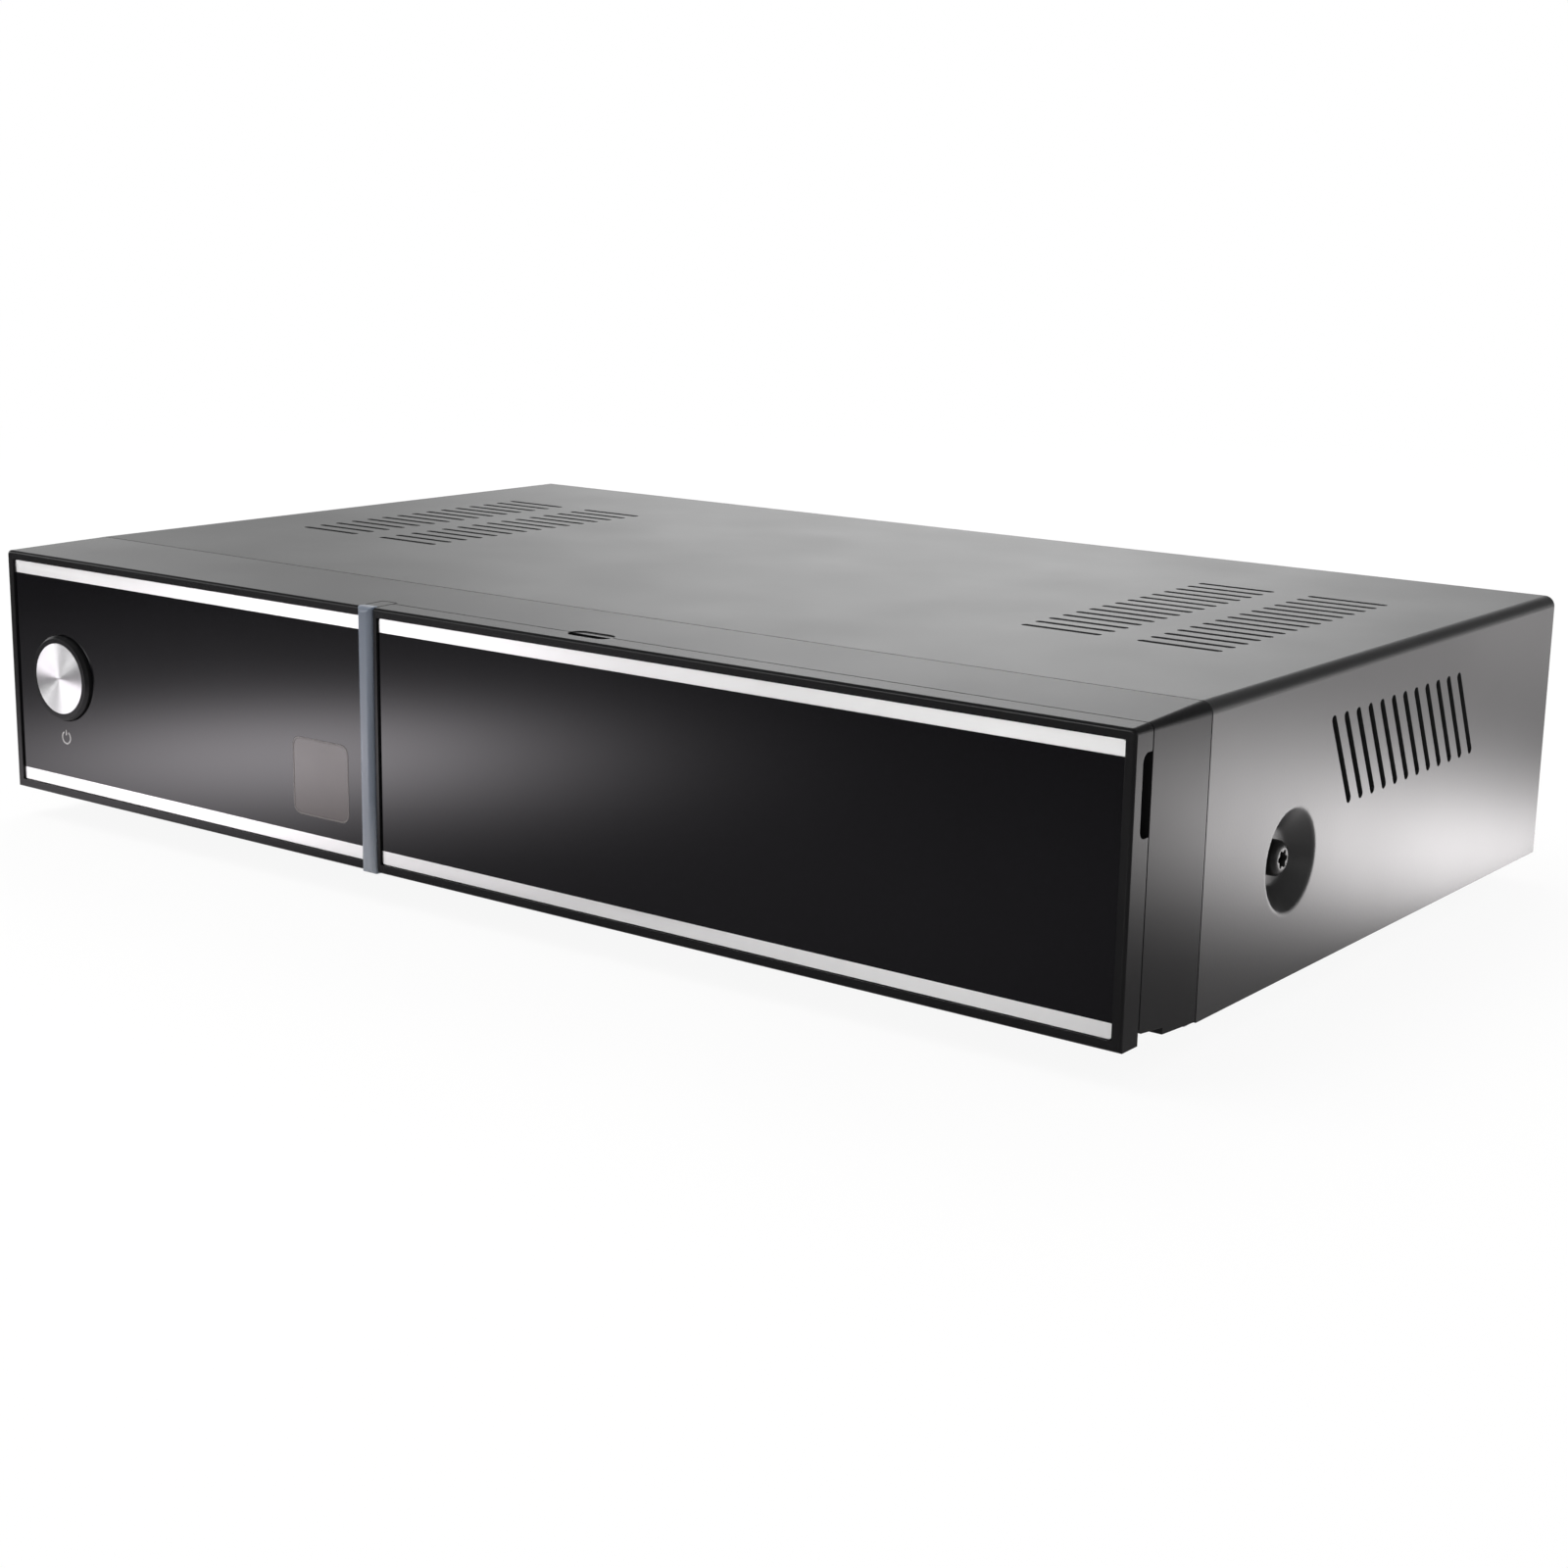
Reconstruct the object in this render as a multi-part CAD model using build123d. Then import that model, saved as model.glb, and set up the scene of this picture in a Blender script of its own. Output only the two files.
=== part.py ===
from build123d import *
import os

# Satellite television receiver: a folded steel cover over a steel chassis, a moulded front with a push
# button, a light strip and a drop-down flap, and the boards and sockets inside.
# Millimetres. X runs from left to right seen from the front, Y from front to rear, Z up from the feet.
# The origin is at the middle of the whole object's footprint.

# ---------------------------------------------------------------- driving sizes: case
case_width = 260.0
case_depth = 160.5            # rim plane to the cover's rear edge
cover_height = 50.4
foot_height = 5.0
sheet = 0.8
cover_bend = 2.0
part_gap = 0.3                # between pieces that come apart
slip_gap = 0.1                # round an inlay, a screw or a guided stem
front_lift = 1.0              # the front's sill above the cover's lower edge
rim_drop = 0.6                # the front's top edge is this much lower at the rim than at the seam
housing_depth = 22.8          # rim plane to the seam with the cover
rim_corner_radius = 0.9
seam_corner_radius = 2.0
rim_edge_radius = 0.5
rear_lip = 8.0

# Vents
vent_width = 1.6
vent_pitch = 4.62
top_vent_length = 16.0
top_vent_inset = 19.4         # outer row's near end from the case's side
top_vent_row_gap = 7.1
top_vent_count = 15
top_vent_offset = 62.6        # first slot behind the rim plane
side_vent_count = 12
side_vent_length = 18.0
side_vent_lean = 27.7         # degrees, lower end towards the rear
side_vent_offset = 69.4       # first slot behind the rim plane
side_vent_drop = 16.6         # middle of the slots below the top
base_vent_count = 8
base_vent_length = 50.0
base_vent_width = 2.4
base_vent_pitch = 6.0

# Dished seat of the cover's side screws
seat_radius = 8.75
seat_floor_radius = 4.7
seat_depth = 3.6
seat_rounding = 0.4
seat_behind = 52.7
seat_height = 18.9            # above the sill

# Screws
screw_radius = 1.45
pan_head_radius = 3.0
pan_head_height = 2.2
low_head_height = 1.4
head_edge = 0.4
side_screw_length = 6.0
rear_screw_length = 5.0
rear_screw_inset = 15.0
rear_screw_drop = 4.6

# Chassis
flange_height = 5.0
tongue_width = 10.0
tongue_length = 9.0
tongue_inset = 25.0
tongue_count = 4
hook_width = 2.2
hook_reach = 1.4
hook_drop = 0.45
tab_width = 18.0
tab_height = 29.0
wall_top_gap = 0.3

# Feet
foot_radius = 8.0
foot_tip_radius = 6.6
foot_inset_x = 25.0
foot_inset_front = 38.0
foot_inset_rear = 22.0
foot_recess_radius = 3.6
foot_recess_height = 2.8
foot_screw_length = 5.0
front_screw_length = 5.0

# ---------------------------------------------------------------- driving sizes: front
wall = 2.2
rim_width = 1.7
panel_inset = 0.4             # the gloss panels sit this far behind the rim plane
panel_thickness = 1.8
panel_gap = 0.1
panel_corner_radius = 0.6
band_height = 2.5
band_thickness = 0.4
parting_depth = 5.1           # parting plane between flap and housing
relief_front_height = 1.8     # underside of the housing above the sill, just behind the flap
relief_rear_height = 1.0
relief_edge = 0.6
heel_behind = 12.4
heel_front_drop = 0.1
heel_rear_drop = 0.75
cavity_floor_front = 4.0
cavity_floor_rear = 1.6
heel_floor_behind = 14.2
ceiling_wall = 2.5
housing_lip_length = 4.0
housing_lip_thickness = 1.5

flap_width = 154.9
strip_width = 3.3
strip_proud = 0.8
strip_front_depth = 1.4
strip_edge_radius = 1.0
strip_overhang = 0.25
strip_stem_thickness = 1.2
strip_stem_height = 30.0
strip_slot_gap = 0.4          # round the stem in the housing
carrier_depth = 6.0
carrier_line_depth = 2.0      # depth of the open line round the carrier on the top edge

button_inset = 15.9           # button's centre from the case's left side
button_height = 24.5
button_radius = 8.6
button_front_radius = 8.1
button_proud = 0.8
button_bevel = 0.7
button_back = 1.5
button_disc_radius = 7.1
button_disc_thickness = 0.6
button_stem_radius = 2.5
button_collar_radius = 3.4
button_collar_thickness = 0.8
button_travel = 0.5
button_hole_gap = 0.2

window_inset = 4.1            # from the light strip
window_size = 14.6
window_height = 15.1          # middle above the sill
window_radius = 1.8
window_light_hole = 11.0

top_notch_inset = 107.8       # from the case's right side
top_notch_length = 9.3
top_notch_width = 4.1
top_notch_depth = 1.2
side_notch_drop = 3.9         # below the top edge of the rim
side_notch_height = 12.9
side_notch_front = 2.35
side_notch_radius = 1.4

flap_wall = 1.6
flap_back = 1.5
flap_left_rim = 0.7
flap_rib_thickness = 1.0
flap_rib_gap = 0.3
flap_rib_count = 5
pivot_behind = 7.2
pivot_height = 3.0
pin_radius = 0.9
pin_fit = 0.05
pin_bearing = 3.0
arm_width = 4.0
arm_radius = 1.9
arm_inset = 6.5
arm_foot = 0.7
lug_depth = 3.4
lug_height = 2.5
lug_width = 3.4

# ---------------------------------------------------------------- driving sizes: boards and parts inside
board_thickness = 1.6
standoff_height = 6.0
standoff_across = 5.0
board_inset_left = 12.0
board_inset_right = 8.0
board_front = 10.0
board_left_front = 26.0
board_step_gap = 7.2          # from the flap's left end to the board's step
board_rear_gap = 1.0
board_screw_length = 4.0
board_screw_inset = 6.0
board_screw_front = 33.0
board_screw_rear = 45.0

display_gap = 0.6
front_board_inset = 5.0
front_board_overhang = 4.7    # past the light strip
front_board_bottom = 5.0
front_board_top_gap = 2.3
post_radius = 2.6
post_inset = 4.0
post_screw_length = 5.0
key_size = 6.2
key_height = 3.5
plunger_radius = 1.75
plunger_stand = 1.5
plunger_depth = 0.4
display_width = 30.0
display_height = 14.0
display_depth = 7.0
display_rise = 25.0
display_from_button = 26.0    # between their centres
display_border = 1.0
receiver_width = 6.0
receiver_height = 7.4
receiver_depth = 3.2
receiver_lens_height = 1.6
led_bar_width = 2.6
led_bar_height = 26.0
led_bar_depth = 0.9
link_pins = 8
link_spacing = 2.54
link_pin_size = 0.7
link_body = 2.5
link_inset = 66.0

processor_inset = 88.0
processor_behind = 106.0
processor_size = 27.0
processor_height = 2.2
sink_size = 44.0
sink_base = 3.0
sink_height = 17.0
fin_count = 11
fin_thickness = 1.3
memory_width = 9.0
memory_length = 13.0
memory_height = 1.1
memory_count = 4
memory_pitch = 14.0
memory_gap = 10.0             # from the heat sink
can_count = 5
can_radius = 4.0
can_height = 12.5
can_pitch = 11.0
can_inset = 28.0
can_offset = 60.0             # first can behind the rim plane
coil_count = 3
coil_size = 12.0
coil_height = 6.5
coil_pitch = 16.0
coil_inset = 46.0
coil_offset = 70.0            # first coil behind the rim plane

reader_inset = 5.0            # from the flap's left end
reader_wall = 1.1
reader_height = 5.6
reader_length = 62.0
reader_slot_width = 54.4
reader_slot_height = 1.4
reader_slot_length = 50.0
reader_cage_gap = 1.0
cage_wall = 1.9
cage_height = 9.6
cage_length = 90.0
cage_slot_width = 54.6
cage_slot_height = 5.6
cage_slot_length = 84.0
slot_flare = 0.4
eject_width = 4.2
eject_height = 4.0
eject_head = 5.6
eject_head_depth = 3.0
eject_front = 5.3
eject_length = 56.0
eject_travel = 5.0
eject_rise = 3.2
guide_thickness = 0.8
eject_usb_gap = 2.5

usb_width = 14.4
usb_height = 7.0
usb_shell = 0.6
usb_tongue_width = 11.0
usb_tongue_height = 2.0
usb_tongue_gap = 0.9
usb_tongue_setback = 1.6
usb_length = 18.0
usb_setback = 0.4
usb_mouth_depth = 12.0

# ---------------------------------------------------------------- driving sizes: rear sockets
socket_stand = 0.6            # sockets stand this far out of the rear wall
cutout_gap = 0.3
tuner_height = 14.0
tuner_skin = 0.6
sat_tuner_inset = 14.0
sat_tuner_width = 46.0
tuner_length = 38.0
tuner_gap = 6.0
f_inset = 13.0
f_pitch = 20.0
f_radius = 4.76
f_base_radius = 5.3
f_base_length = 2.6
f_reach = 11.0
f_bore = 1.0
f_mouth_radius = 3.4
f_mouth_depth = 0.8
f_nut_across = 13.0
f_nut_thickness = 2.2
cable_tuner_width = 38.0
aerial_radius = 4.72
aerial_wall = 0.7
aerial_reach = 9.0
aerial_base_radius = 5.5
aerial_base_length = 0.6
aerial_core_radius = 2.3
aerial_hole_radius = 1.2
aerial_mouth_depth = 7.0
hdmi_inset = 121.0
hdmi_width = 15.2
hdmi_height = 6.4
hdmi_length = 12.0
hdmi_mouth_width = 14.0
hdmi_mouth_height = 4.8
hdmi_mouth_slope = 1.4
hdmi_mouth_depth = 8.0
hdmi_tongue_width = 11.6
hdmi_tongue_height = 1.4
stack_inset = 102.0
stack_pitch = 8.4
stack_height = 15.8
ethernet_inset = 83.0
ethernet_width = 16.2
ethernet_height = 13.6
ethernet_length = 21.0
ethernet_mouth_width = 11.9
ethernet_mouth_height = 8.3
ethernet_mouth_depth = 13.0
ethernet_mouth_rise = 3.4
ethernet_latch_width = 6.0
ethernet_latch_height = 1.6
optical_inset = 66.0
optical_size = 10.0
optical_length = 14.0
optical_mouth = 8.2
optical_mouth_depth = 9.0
optical_lens_radius = 1.4
optical_lens_length = 0.8
shutter_thickness = 0.7
shutter_setback = 0.9
shutter_barrel_radius = 0.6
inlet_inset = 50.0
inlet_width = 9.2
inlet_height = 11.0
inlet_length = 14.0
inlet_bore_radius = 3.15
inlet_depth = 9.5
inlet_pin_radius = 1.0
inlet_rise = 6.3
rocker_inset = 28.0
rocker_bezel_width = 21.0
rocker_bezel_height = 15.0
rocker_bezel_thickness = 1.8
rocker_bezel_radius = 1.0
rocker_body_width = 18.8
rocker_body_height = 12.8
rocker_body_depth = 15.0
rocker_cap_width = 16.4
rocker_cap_height = 10.0
rocker_cap_end = 3.2
rocker_cap_dip = 1.9
rocker_cap_back = 2.4
rocker_cap_back_height = 6.0
rocker_tilt = 10.0
rocker_pivot_radius = 1.0
rocker_pivot_length = 0.8
rocker_clearance = 0.3
rocker_end_clearance = 0.8

# ---------------------------------------------------------------- places worked out from the sizes
left_x = -case_width / 2
right_x = case_width / 2
rear_reach = f_reach - sheet
front_y = (strip_proud - case_depth - rear_reach) / 2
rear_y = front_y + case_depth
seam_y = front_y + housing_depth
cover_front_y = seam_y + part_gap
wall_outer_y = rear_y - sheet
wall_inner_y = wall_outer_y - sheet

cover_bottom_z = foot_height
cover_top_z = cover_bottom_z + cover_height
base_top_z = cover_bottom_z + sheet
sill_z = cover_bottom_z + front_lift
rim_top_z = cover_top_z - rim_drop
ceiling_z = rim_top_z - ceiling_wall

chassis_left_x = left_x + sheet + part_gap
chassis_right_x = right_x - sheet - part_gap
tab_left_x = left_x + seat_depth + sheet
tab_right_x = right_x - seat_depth - sheet
seat_y = front_y + seat_behind
seat_z = sill_z + seat_height
screw_hole_radius = screw_radius + slip_gap
rear_screw_z = cover_top_z - rear_screw_drop
tongue_screw_y = seam_y - tongue_length / 2

flap_left_x = right_x - flap_width
strip_right_x = flap_left_x - part_gap
strip_left_x = strip_right_x - strip_width
strip_middle_x = (strip_left_x + strip_right_x) / 2
strip_stem_z = (sill_z + rim_top_z) / 2
notch_left_x = strip_left_x - part_gap
panel_front_y = front_y + panel_inset
panel_bottom_z = sill_z + rim_width + panel_gap
panel_top_z = rim_top_z - rim_width - panel_gap
recess_y = panel_front_y + panel_thickness
recess_rear_y = recess_y + wall
parting_y = front_y + parting_depth
flap_rear_y = parting_y - part_gap / 2
flap_hollow_y = recess_y + flap_back
plate_y = parting_y + part_gap / 2
plate_rear_y = plate_y + wall
card_front_y = plate_rear_y + part_gap
carrier_rear_y = front_y + carrier_depth
pivot_y = front_y + pivot_behind
pivot_z = sill_z + pivot_height
arm_xs = [flap_left_x + arm_inset, right_x - arm_inset]
pin_length = arm_width + 2 * (part_gap + pin_bearing)

button_x = left_x + button_inset
button_z = sill_z + button_height
button_face_y = front_y - button_proud
window_x = strip_left_x - window_inset - window_size / 2
window_z = sill_z + window_height
front_board_y = recess_rear_y + display_gap + display_depth
front_board_rear_y = front_board_y + board_thickness
front_board_left_x = left_x + front_board_inset
front_board_right_x = strip_right_x + front_board_overhang
front_board_bottom_z = sill_z + front_board_bottom
front_board_top_z = ceiling_z - front_board_top_gap
key_front_y = front_board_y - key_height
plunger_front_y = key_front_y - plunger_stand
display_x = button_x + display_from_button
display_z = sill_z + display_rise

board_bottom_z = base_top_z + standoff_height
board_top_z = board_bottom_z + board_thickness
board_left_x = left_x + board_inset_left
board_right_x = right_x - board_inset_right
board_step_x = flap_left_x + board_step_gap
board_front_y = front_y + board_front
board_left_front_y = front_y + board_left_front
board_rear_y = wall_inner_y - board_rear_gap
processor_x = left_x + processor_inset
processor_y = front_y + processor_behind
reader_width = reader_slot_width + 2 * reader_wall
reader_x = flap_left_x + reader_inset + reader_width / 2
reader_slot_z = board_top_z + reader_height / 2
cage_width = cage_slot_width + 2 * cage_wall
cage_x = reader_x + reader_width / 2 + reader_cage_gap + cage_width / 2
cage_right_x = cage_x + cage_width / 2
cage_slot_z = board_top_z + cage_height / 2
eject_x = cage_right_x + part_gap + eject_head / 2
eject_z = board_top_z + eject_rise + eject_height / 2
eject_face_y = front_y + eject_front
front_usb_x = eject_x + eject_head / 2 + eject_usb_gap + usb_width / 2

socket_face_y = wall_outer_y + socket_stand
tuner_axis_z = board_top_z + tuner_height / 2
sat_tuner_right_x = right_x - sat_tuner_inset
sat_tuner_left_x = sat_tuner_right_x - sat_tuner_width
cable_tuner_right_x = sat_tuner_left_x - tuner_gap
cable_tuner_left_x = cable_tuner_right_x - cable_tuner_width
f_xs = [sat_tuner_left_x + f_inset, sat_tuner_left_x + f_inset + f_pitch]
f_tip_y = wall_outer_y + f_reach
aerial_x = (cable_tuner_left_x + cable_tuner_right_x) / 2
aerial_tip_y = wall_outer_y + aerial_reach
hdmi_x = left_x + hdmi_inset
stack_x = left_x + stack_inset
ethernet_x = left_x + ethernet_inset
optical_x = left_x + optical_inset
optical_z = board_top_z + optical_size / 2
shutter_y = socket_face_y - shutter_setback - shutter_barrel_radius
shutter_z = optical_z + optical_mouth / 2 - shutter_barrel_radius - slip_gap
inlet_x = left_x + inlet_inset
inlet_z = board_top_z + inlet_rise
rocker_x = left_x + rocker_inset
rocker_z = board_top_z + rocker_body_height / 2
rocker_pivot_y = wall_outer_y - rocker_clearance

beyond = 1.0                  # how far a cutter runs past a face
FROM_BASE = (Align.CENTER, Align.CENTER, Align.MIN)


# ---------------------------------------------------------------- shapes used all over
def slab(x0, x1, y0, y1, z0, z1):
    """Box between two corners."""
    middle = Pos((x0 + x1) / 2, (y0 + y1) / 2, (z0 + z1) / 2)
    return middle * Box(x1 - x0, y1 - y0, z1 - z0)


def rect(u0, u1, v0, v1, radius=0.0):
    """Rectangle between two corners, with rounded corners if a radius is given."""
    width, height = u1 - u0, v1 - v0
    flat = RectangleRounded(width, height, radius) if radius > 0 else Rectangle(width, height)
    return Pos((u0 + u1) / 2, (v0 + v1) / 2) * flat


def block(u, v, width, height, radius=0.0):
    """Rectangle about a middle point."""
    return rect(u - width / 2, u + width / 2, v - height / 2, v + height / 2, radius)


def shape(*points):
    """Flat polygon through the points."""
    return Polygon(*points, align=None)


def along_x(sketch, x0, x1):
    """Sketch in Y and Z, extruded from x0 to x1."""
    return Pos(x0, 0, 0) * extrude(Plane.YZ * sketch, amount=x1 - x0, dir=(1, 0, 0))


def along_y(sketch, y0, y1):
    """Sketch in X and Z, extruded from y0 to y1."""
    return Pos(0, y0, 0) * extrude(Plane.XZ * sketch, amount=y1 - y0, dir=(0, 1, 0))


def along_z(sketch, z0, z1):
    """Sketch in X and Y, extruded from z0 to z1."""
    return Pos(0, 0, z0) * extrude(Plane.XY * sketch, amount=z1 - z0, dir=(0, 0, 1))


def rod_x(y, z, radius, x0, x1):
    return along_x(Pos(y, z) * Circle(radius), x0, x1)


def rod_y(x, z, radius, y0, y1):
    return along_y(Pos(x, z) * Circle(radius), y0, y1)


def rod_z(x, y, radius, z0, z1):
    return along_z(Pos(x, y) * Circle(radius), z0, z1)


def cone(point, way, near_radius, far_radius, depth):
    """Cone or, with equal radii, cylinder that starts at the point and runs the given way."""
    plane = Plane(origin=point, z_dir=way)
    if near_radius == far_radius:
        return plane * Cylinder(near_radius, depth, align=FROM_BASE)
    return plane * Cone(near_radius, far_radius, depth, align=FROM_BASE)


def screw(head_height, length, at, towards):
    """Pan-head screw: the head's seat is at the point, and the shank runs the given way."""
    profile = shape((0, -head_height), (pan_head_radius - head_edge, -head_height),
                    (pan_head_radius, head_edge - head_height), (pan_head_radius, 0),
                    (screw_radius, 0), (screw_radius, length), (0, length))
    return Plane(origin=at, z_dir=towards) * revolve(Plane.XZ * profile, Axis.Z)


# ---------------------------------------------------------------- cover
def seat_metal(side):
    """Metal of the dished screw seat on the left (-1) or the right (+1) wall."""
    return cone((side * case_width / 2, seat_y, seat_z), (-side, 0, 0),
                seat_radius + sheet, seat_floor_radius + sheet, seat_depth + sheet)


def seat_hollow(side):
    """Hollow of the dished seat, with the screw's hole through its floor."""
    centre, inward = (side * case_width / 2, seat_y, seat_z), (-side, 0, 0)
    hole = cone(centre, inward, screw_hole_radius, screw_hole_radius, seat_depth + sheet + beyond)
    return cone(centre, inward, seat_radius, seat_floor_radius, seat_depth) + hole


def top_vents():
    """Two rows of cross slots at each side of the top."""
    slot = SlotOverall(top_vent_length, vent_width)
    cutters = Sketch()
    for side in (-1, 1):
        for row in range(2):
            inset = top_vent_inset + row * (top_vent_length + top_vent_row_gap) + top_vent_length / 2
            for index in range(top_vent_count):
                place = Pos(side * (case_width / 2 - inset), front_y + top_vent_offset + index * vent_pitch)
                cutters += place * slot
    return along_z(cutters, cover_top_z - sheet - beyond, cover_top_z + beyond)


def side_vents():
    """A row of leaning slots through both side walls."""
    slot = Rot(0, 0, 90 + side_vent_lean) * SlotOverall(side_vent_length, vent_width)
    cutters = Sketch()
    for index in range(side_vent_count):
        y = front_y + side_vent_offset + index * vent_pitch
        cutters += Pos(y, cover_top_z - side_vent_drop) * slot
    return along_x(cutters, left_x - beyond, right_x + beyond)


def rear_screw_xs():
    return [left_x + rear_screw_inset, 0.0, right_x - rear_screw_inset]


def top_cover():
    """Folded sheet with a rear lip, vents and the two dished screw seats."""
    outer = rect(left_x, right_x, cover_bottom_z, cover_top_z)
    outer = fillet(outer.vertices().group_by(Axis.Y)[-1], cover_bend)
    inner = rect(left_x + sheet, right_x - sheet, cover_bottom_z - beyond, cover_top_z - sheet)
    inner = fillet(inner.vertices().group_by(Axis.Y)[-1], cover_bend - sheet)
    cover = along_y(outer - inner, cover_front_y, rear_y)
    cover += slab(left_x + sheet, right_x - sheet, rear_y - sheet, rear_y,
                  cover_top_z - rear_lip, cover_top_z - sheet)
    for side in (-1, 1):
        cover = cover + seat_metal(side) - seat_hollow(side)
        rim = cover.edges().filter_by(GeomType.CIRCLE).sort_by(Axis.X)[0 if side < 0 else -1]
        cover = fillet(rim, seat_rounding)
    cover = cover - top_vents() - side_vents()
    for x in rear_screw_xs():
        cover -= rod_y(x, rear_screw_z, screw_hole_radius, rear_y - sheet - beyond, rear_y + beyond)
    return cover


def side_screws():
    """One black screw in each dished seat."""
    seat_x = case_width / 2 - seat_depth
    return [screw(pan_head_height, side_screw_length, (side * seat_x, seat_y, seat_z), (-side, 0, 0))
            for side in (-1, 1)]


def rear_screws():
    return [screw(pan_head_height, rear_screw_length, (x, rear_y, rear_screw_z), (0, -1, 0))
            for x in rear_screw_xs()]


# ---------------------------------------------------------------- chassis and feet
def tongue_xs():
    step = (case_width - 2 * tongue_inset) / (tongue_count - 1)
    return [left_x + tongue_inset + index * step for index in range(tongue_count)]


def feet_at():
    xs = (left_x + foot_inset_x, right_x - foot_inset_x)
    ys = (front_y + foot_inset_front, rear_y - foot_inset_rear)
    return [(x, y) for x in xs for y in ys]


def base_vents():
    """Slots under the heat sink."""
    slot = SlotOverall(base_vent_length, base_vent_width)
    cutters = Sketch()
    first_y = processor_y - (base_vent_count - 1) * base_vent_pitch / 2
    for index in range(base_vent_count):
        cutters += Pos(processor_x, first_y + index * base_vent_pitch) * slot
    return along_z(cutters, cover_bottom_z - beyond, base_top_z + beyond)


def socket_cutout(x, width, height):
    """Hole in the rear wall round a socket that stands on the board."""
    return rect(x - width / 2 - cutout_gap, x + width / 2 + cutout_gap,
                board_top_z - cutout_gap, board_top_z + height + cutout_gap)


def rear_cutouts():
    """All the holes for sockets in the rear wall."""
    outlines = socket_cutout(hdmi_x, hdmi_width, hdmi_height)
    outlines += socket_cutout(stack_x, usb_width, stack_height)
    outlines += socket_cutout(ethernet_x, ethernet_width, ethernet_height)
    outlines += socket_cutout(optical_x, optical_size, optical_size)
    outlines += socket_cutout(inlet_x, inlet_width, inlet_height)
    outlines += block(rocker_x, rocker_z, rocker_body_width + 2 * slip_gap, rocker_body_height + 2 * slip_gap)
    outlines += Pos(aerial_x, tuner_axis_z) * Circle(aerial_base_radius + slip_gap)
    for x in f_xs:
        outlines += Pos(x, tuner_axis_z) * Circle(f_base_radius + slip_gap)
    return along_y(outlines, wall_inner_y - beyond, wall_outer_y + beyond)


def chassis():
    """Folded tray: base, low side and front flanges, screw tabs, front tongues and the rear wall."""
    flange_top_z = cover_bottom_z + flange_height
    tray = slab(chassis_left_x, chassis_right_x, seam_y, wall_outer_y, cover_bottom_z, base_top_z)
    tray += slab(chassis_left_x, chassis_right_x, seam_y, seam_y + sheet, cover_bottom_z, flange_top_z)
    tray += slab(chassis_left_x, chassis_right_x, wall_inner_y, wall_outer_y,
                 cover_bottom_z, cover_top_z - sheet - wall_top_gap)
    for x0 in (chassis_left_x, chassis_right_x - sheet):
        tray += slab(x0, x0 + sheet, seam_y, wall_outer_y, cover_bottom_z, flange_top_z)
    for x0 in (tab_left_x, tab_right_x - sheet):
        tray += slab(x0, x0 + sheet, seat_y - tab_width / 2, seat_y + tab_width / 2,
                     cover_bottom_z, cover_bottom_z + tab_height)
    for x0 in (chassis_left_x, chassis_right_x - hook_width):
        tray += slab(x0, x0 + hook_width, seam_y - hook_reach, seam_y + sheet,
                     cover_bottom_z - hook_drop, cover_bottom_z + sheet / 2)
    for x in tongue_xs():
        tray += slab(x - tongue_width / 2, x + tongue_width / 2, seam_y - tongue_length, seam_y,
                     cover_bottom_z, base_top_z)
        tray -= rod_z(x, tongue_screw_y, screw_hole_radius, cover_bottom_z - beyond, base_top_z + beyond)
    for x, y in feet_at():
        tray -= rod_z(x, y, screw_hole_radius, cover_bottom_z - beyond, base_top_z + beyond)
    for x in rear_screw_xs():
        tray -= rod_y(x, rear_screw_z, screw_hole_radius, wall_inner_y - beyond, wall_outer_y + beyond)
    tray -= rod_x(seat_y, seat_z, screw_hole_radius, left_x - beyond, right_x + beyond)
    return tray - base_vents() - rear_cutouts()


def feet():
    """Four tapered rubber feet, each hollowed for its screw's head."""
    pieces = []
    for x, y in feet_at():
        foot = cone((x, y, 0), (0, 0, 1), foot_tip_radius, foot_radius, foot_height)
        foot -= rod_z(x, y, foot_recess_radius, -beyond, foot_recess_height)
        pieces.append(foot - rod_z(x, y, screw_hole_radius, 0, foot_height + beyond))
    return pieces


def foot_screws():
    return [screw(low_head_height, foot_screw_length, (x, y, foot_recess_height), (0, 0, 1))
            for x, y in feet_at()]


def front_screws():
    """Screws that go up through the chassis tongues into the front's bosses."""
    return [screw(low_head_height, front_screw_length, (x, tongue_screw_y, cover_bottom_z), (0, 0, 1))
            for x in tongue_xs()]


# ---------------------------------------------------------------- moulded front
def front_outline(y, top, radius):
    """The front seen end on at one depth, with its two upper corners rounded."""
    outline = rect(left_x, right_x, sill_z, top)
    outline = fillet(outline.vertices().group_by(Axis.Y)[-1], radius)
    return Pos(0, y, 0) * (Plane.XZ * outline)


def front_form():
    """Outer form shared by the housing, the flap and the strip's carrier: it rises a little to the seam."""
    form = loft([front_outline(front_y, rim_top_z, rim_corner_radius),
                 front_outline(seam_y, cover_top_z, seam_corner_radius)], ruled=True)
    return fillet(form.faces().sort_by(Axis.Y)[0].edges(), rim_edge_radius)


def panel_recess(x0, x1):
    """Space for a gloss panel behind the rim plane."""
    return slab(x0, x1, front_y - beyond, recess_y, sill_z + rim_width, rim_top_z - rim_width)


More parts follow.
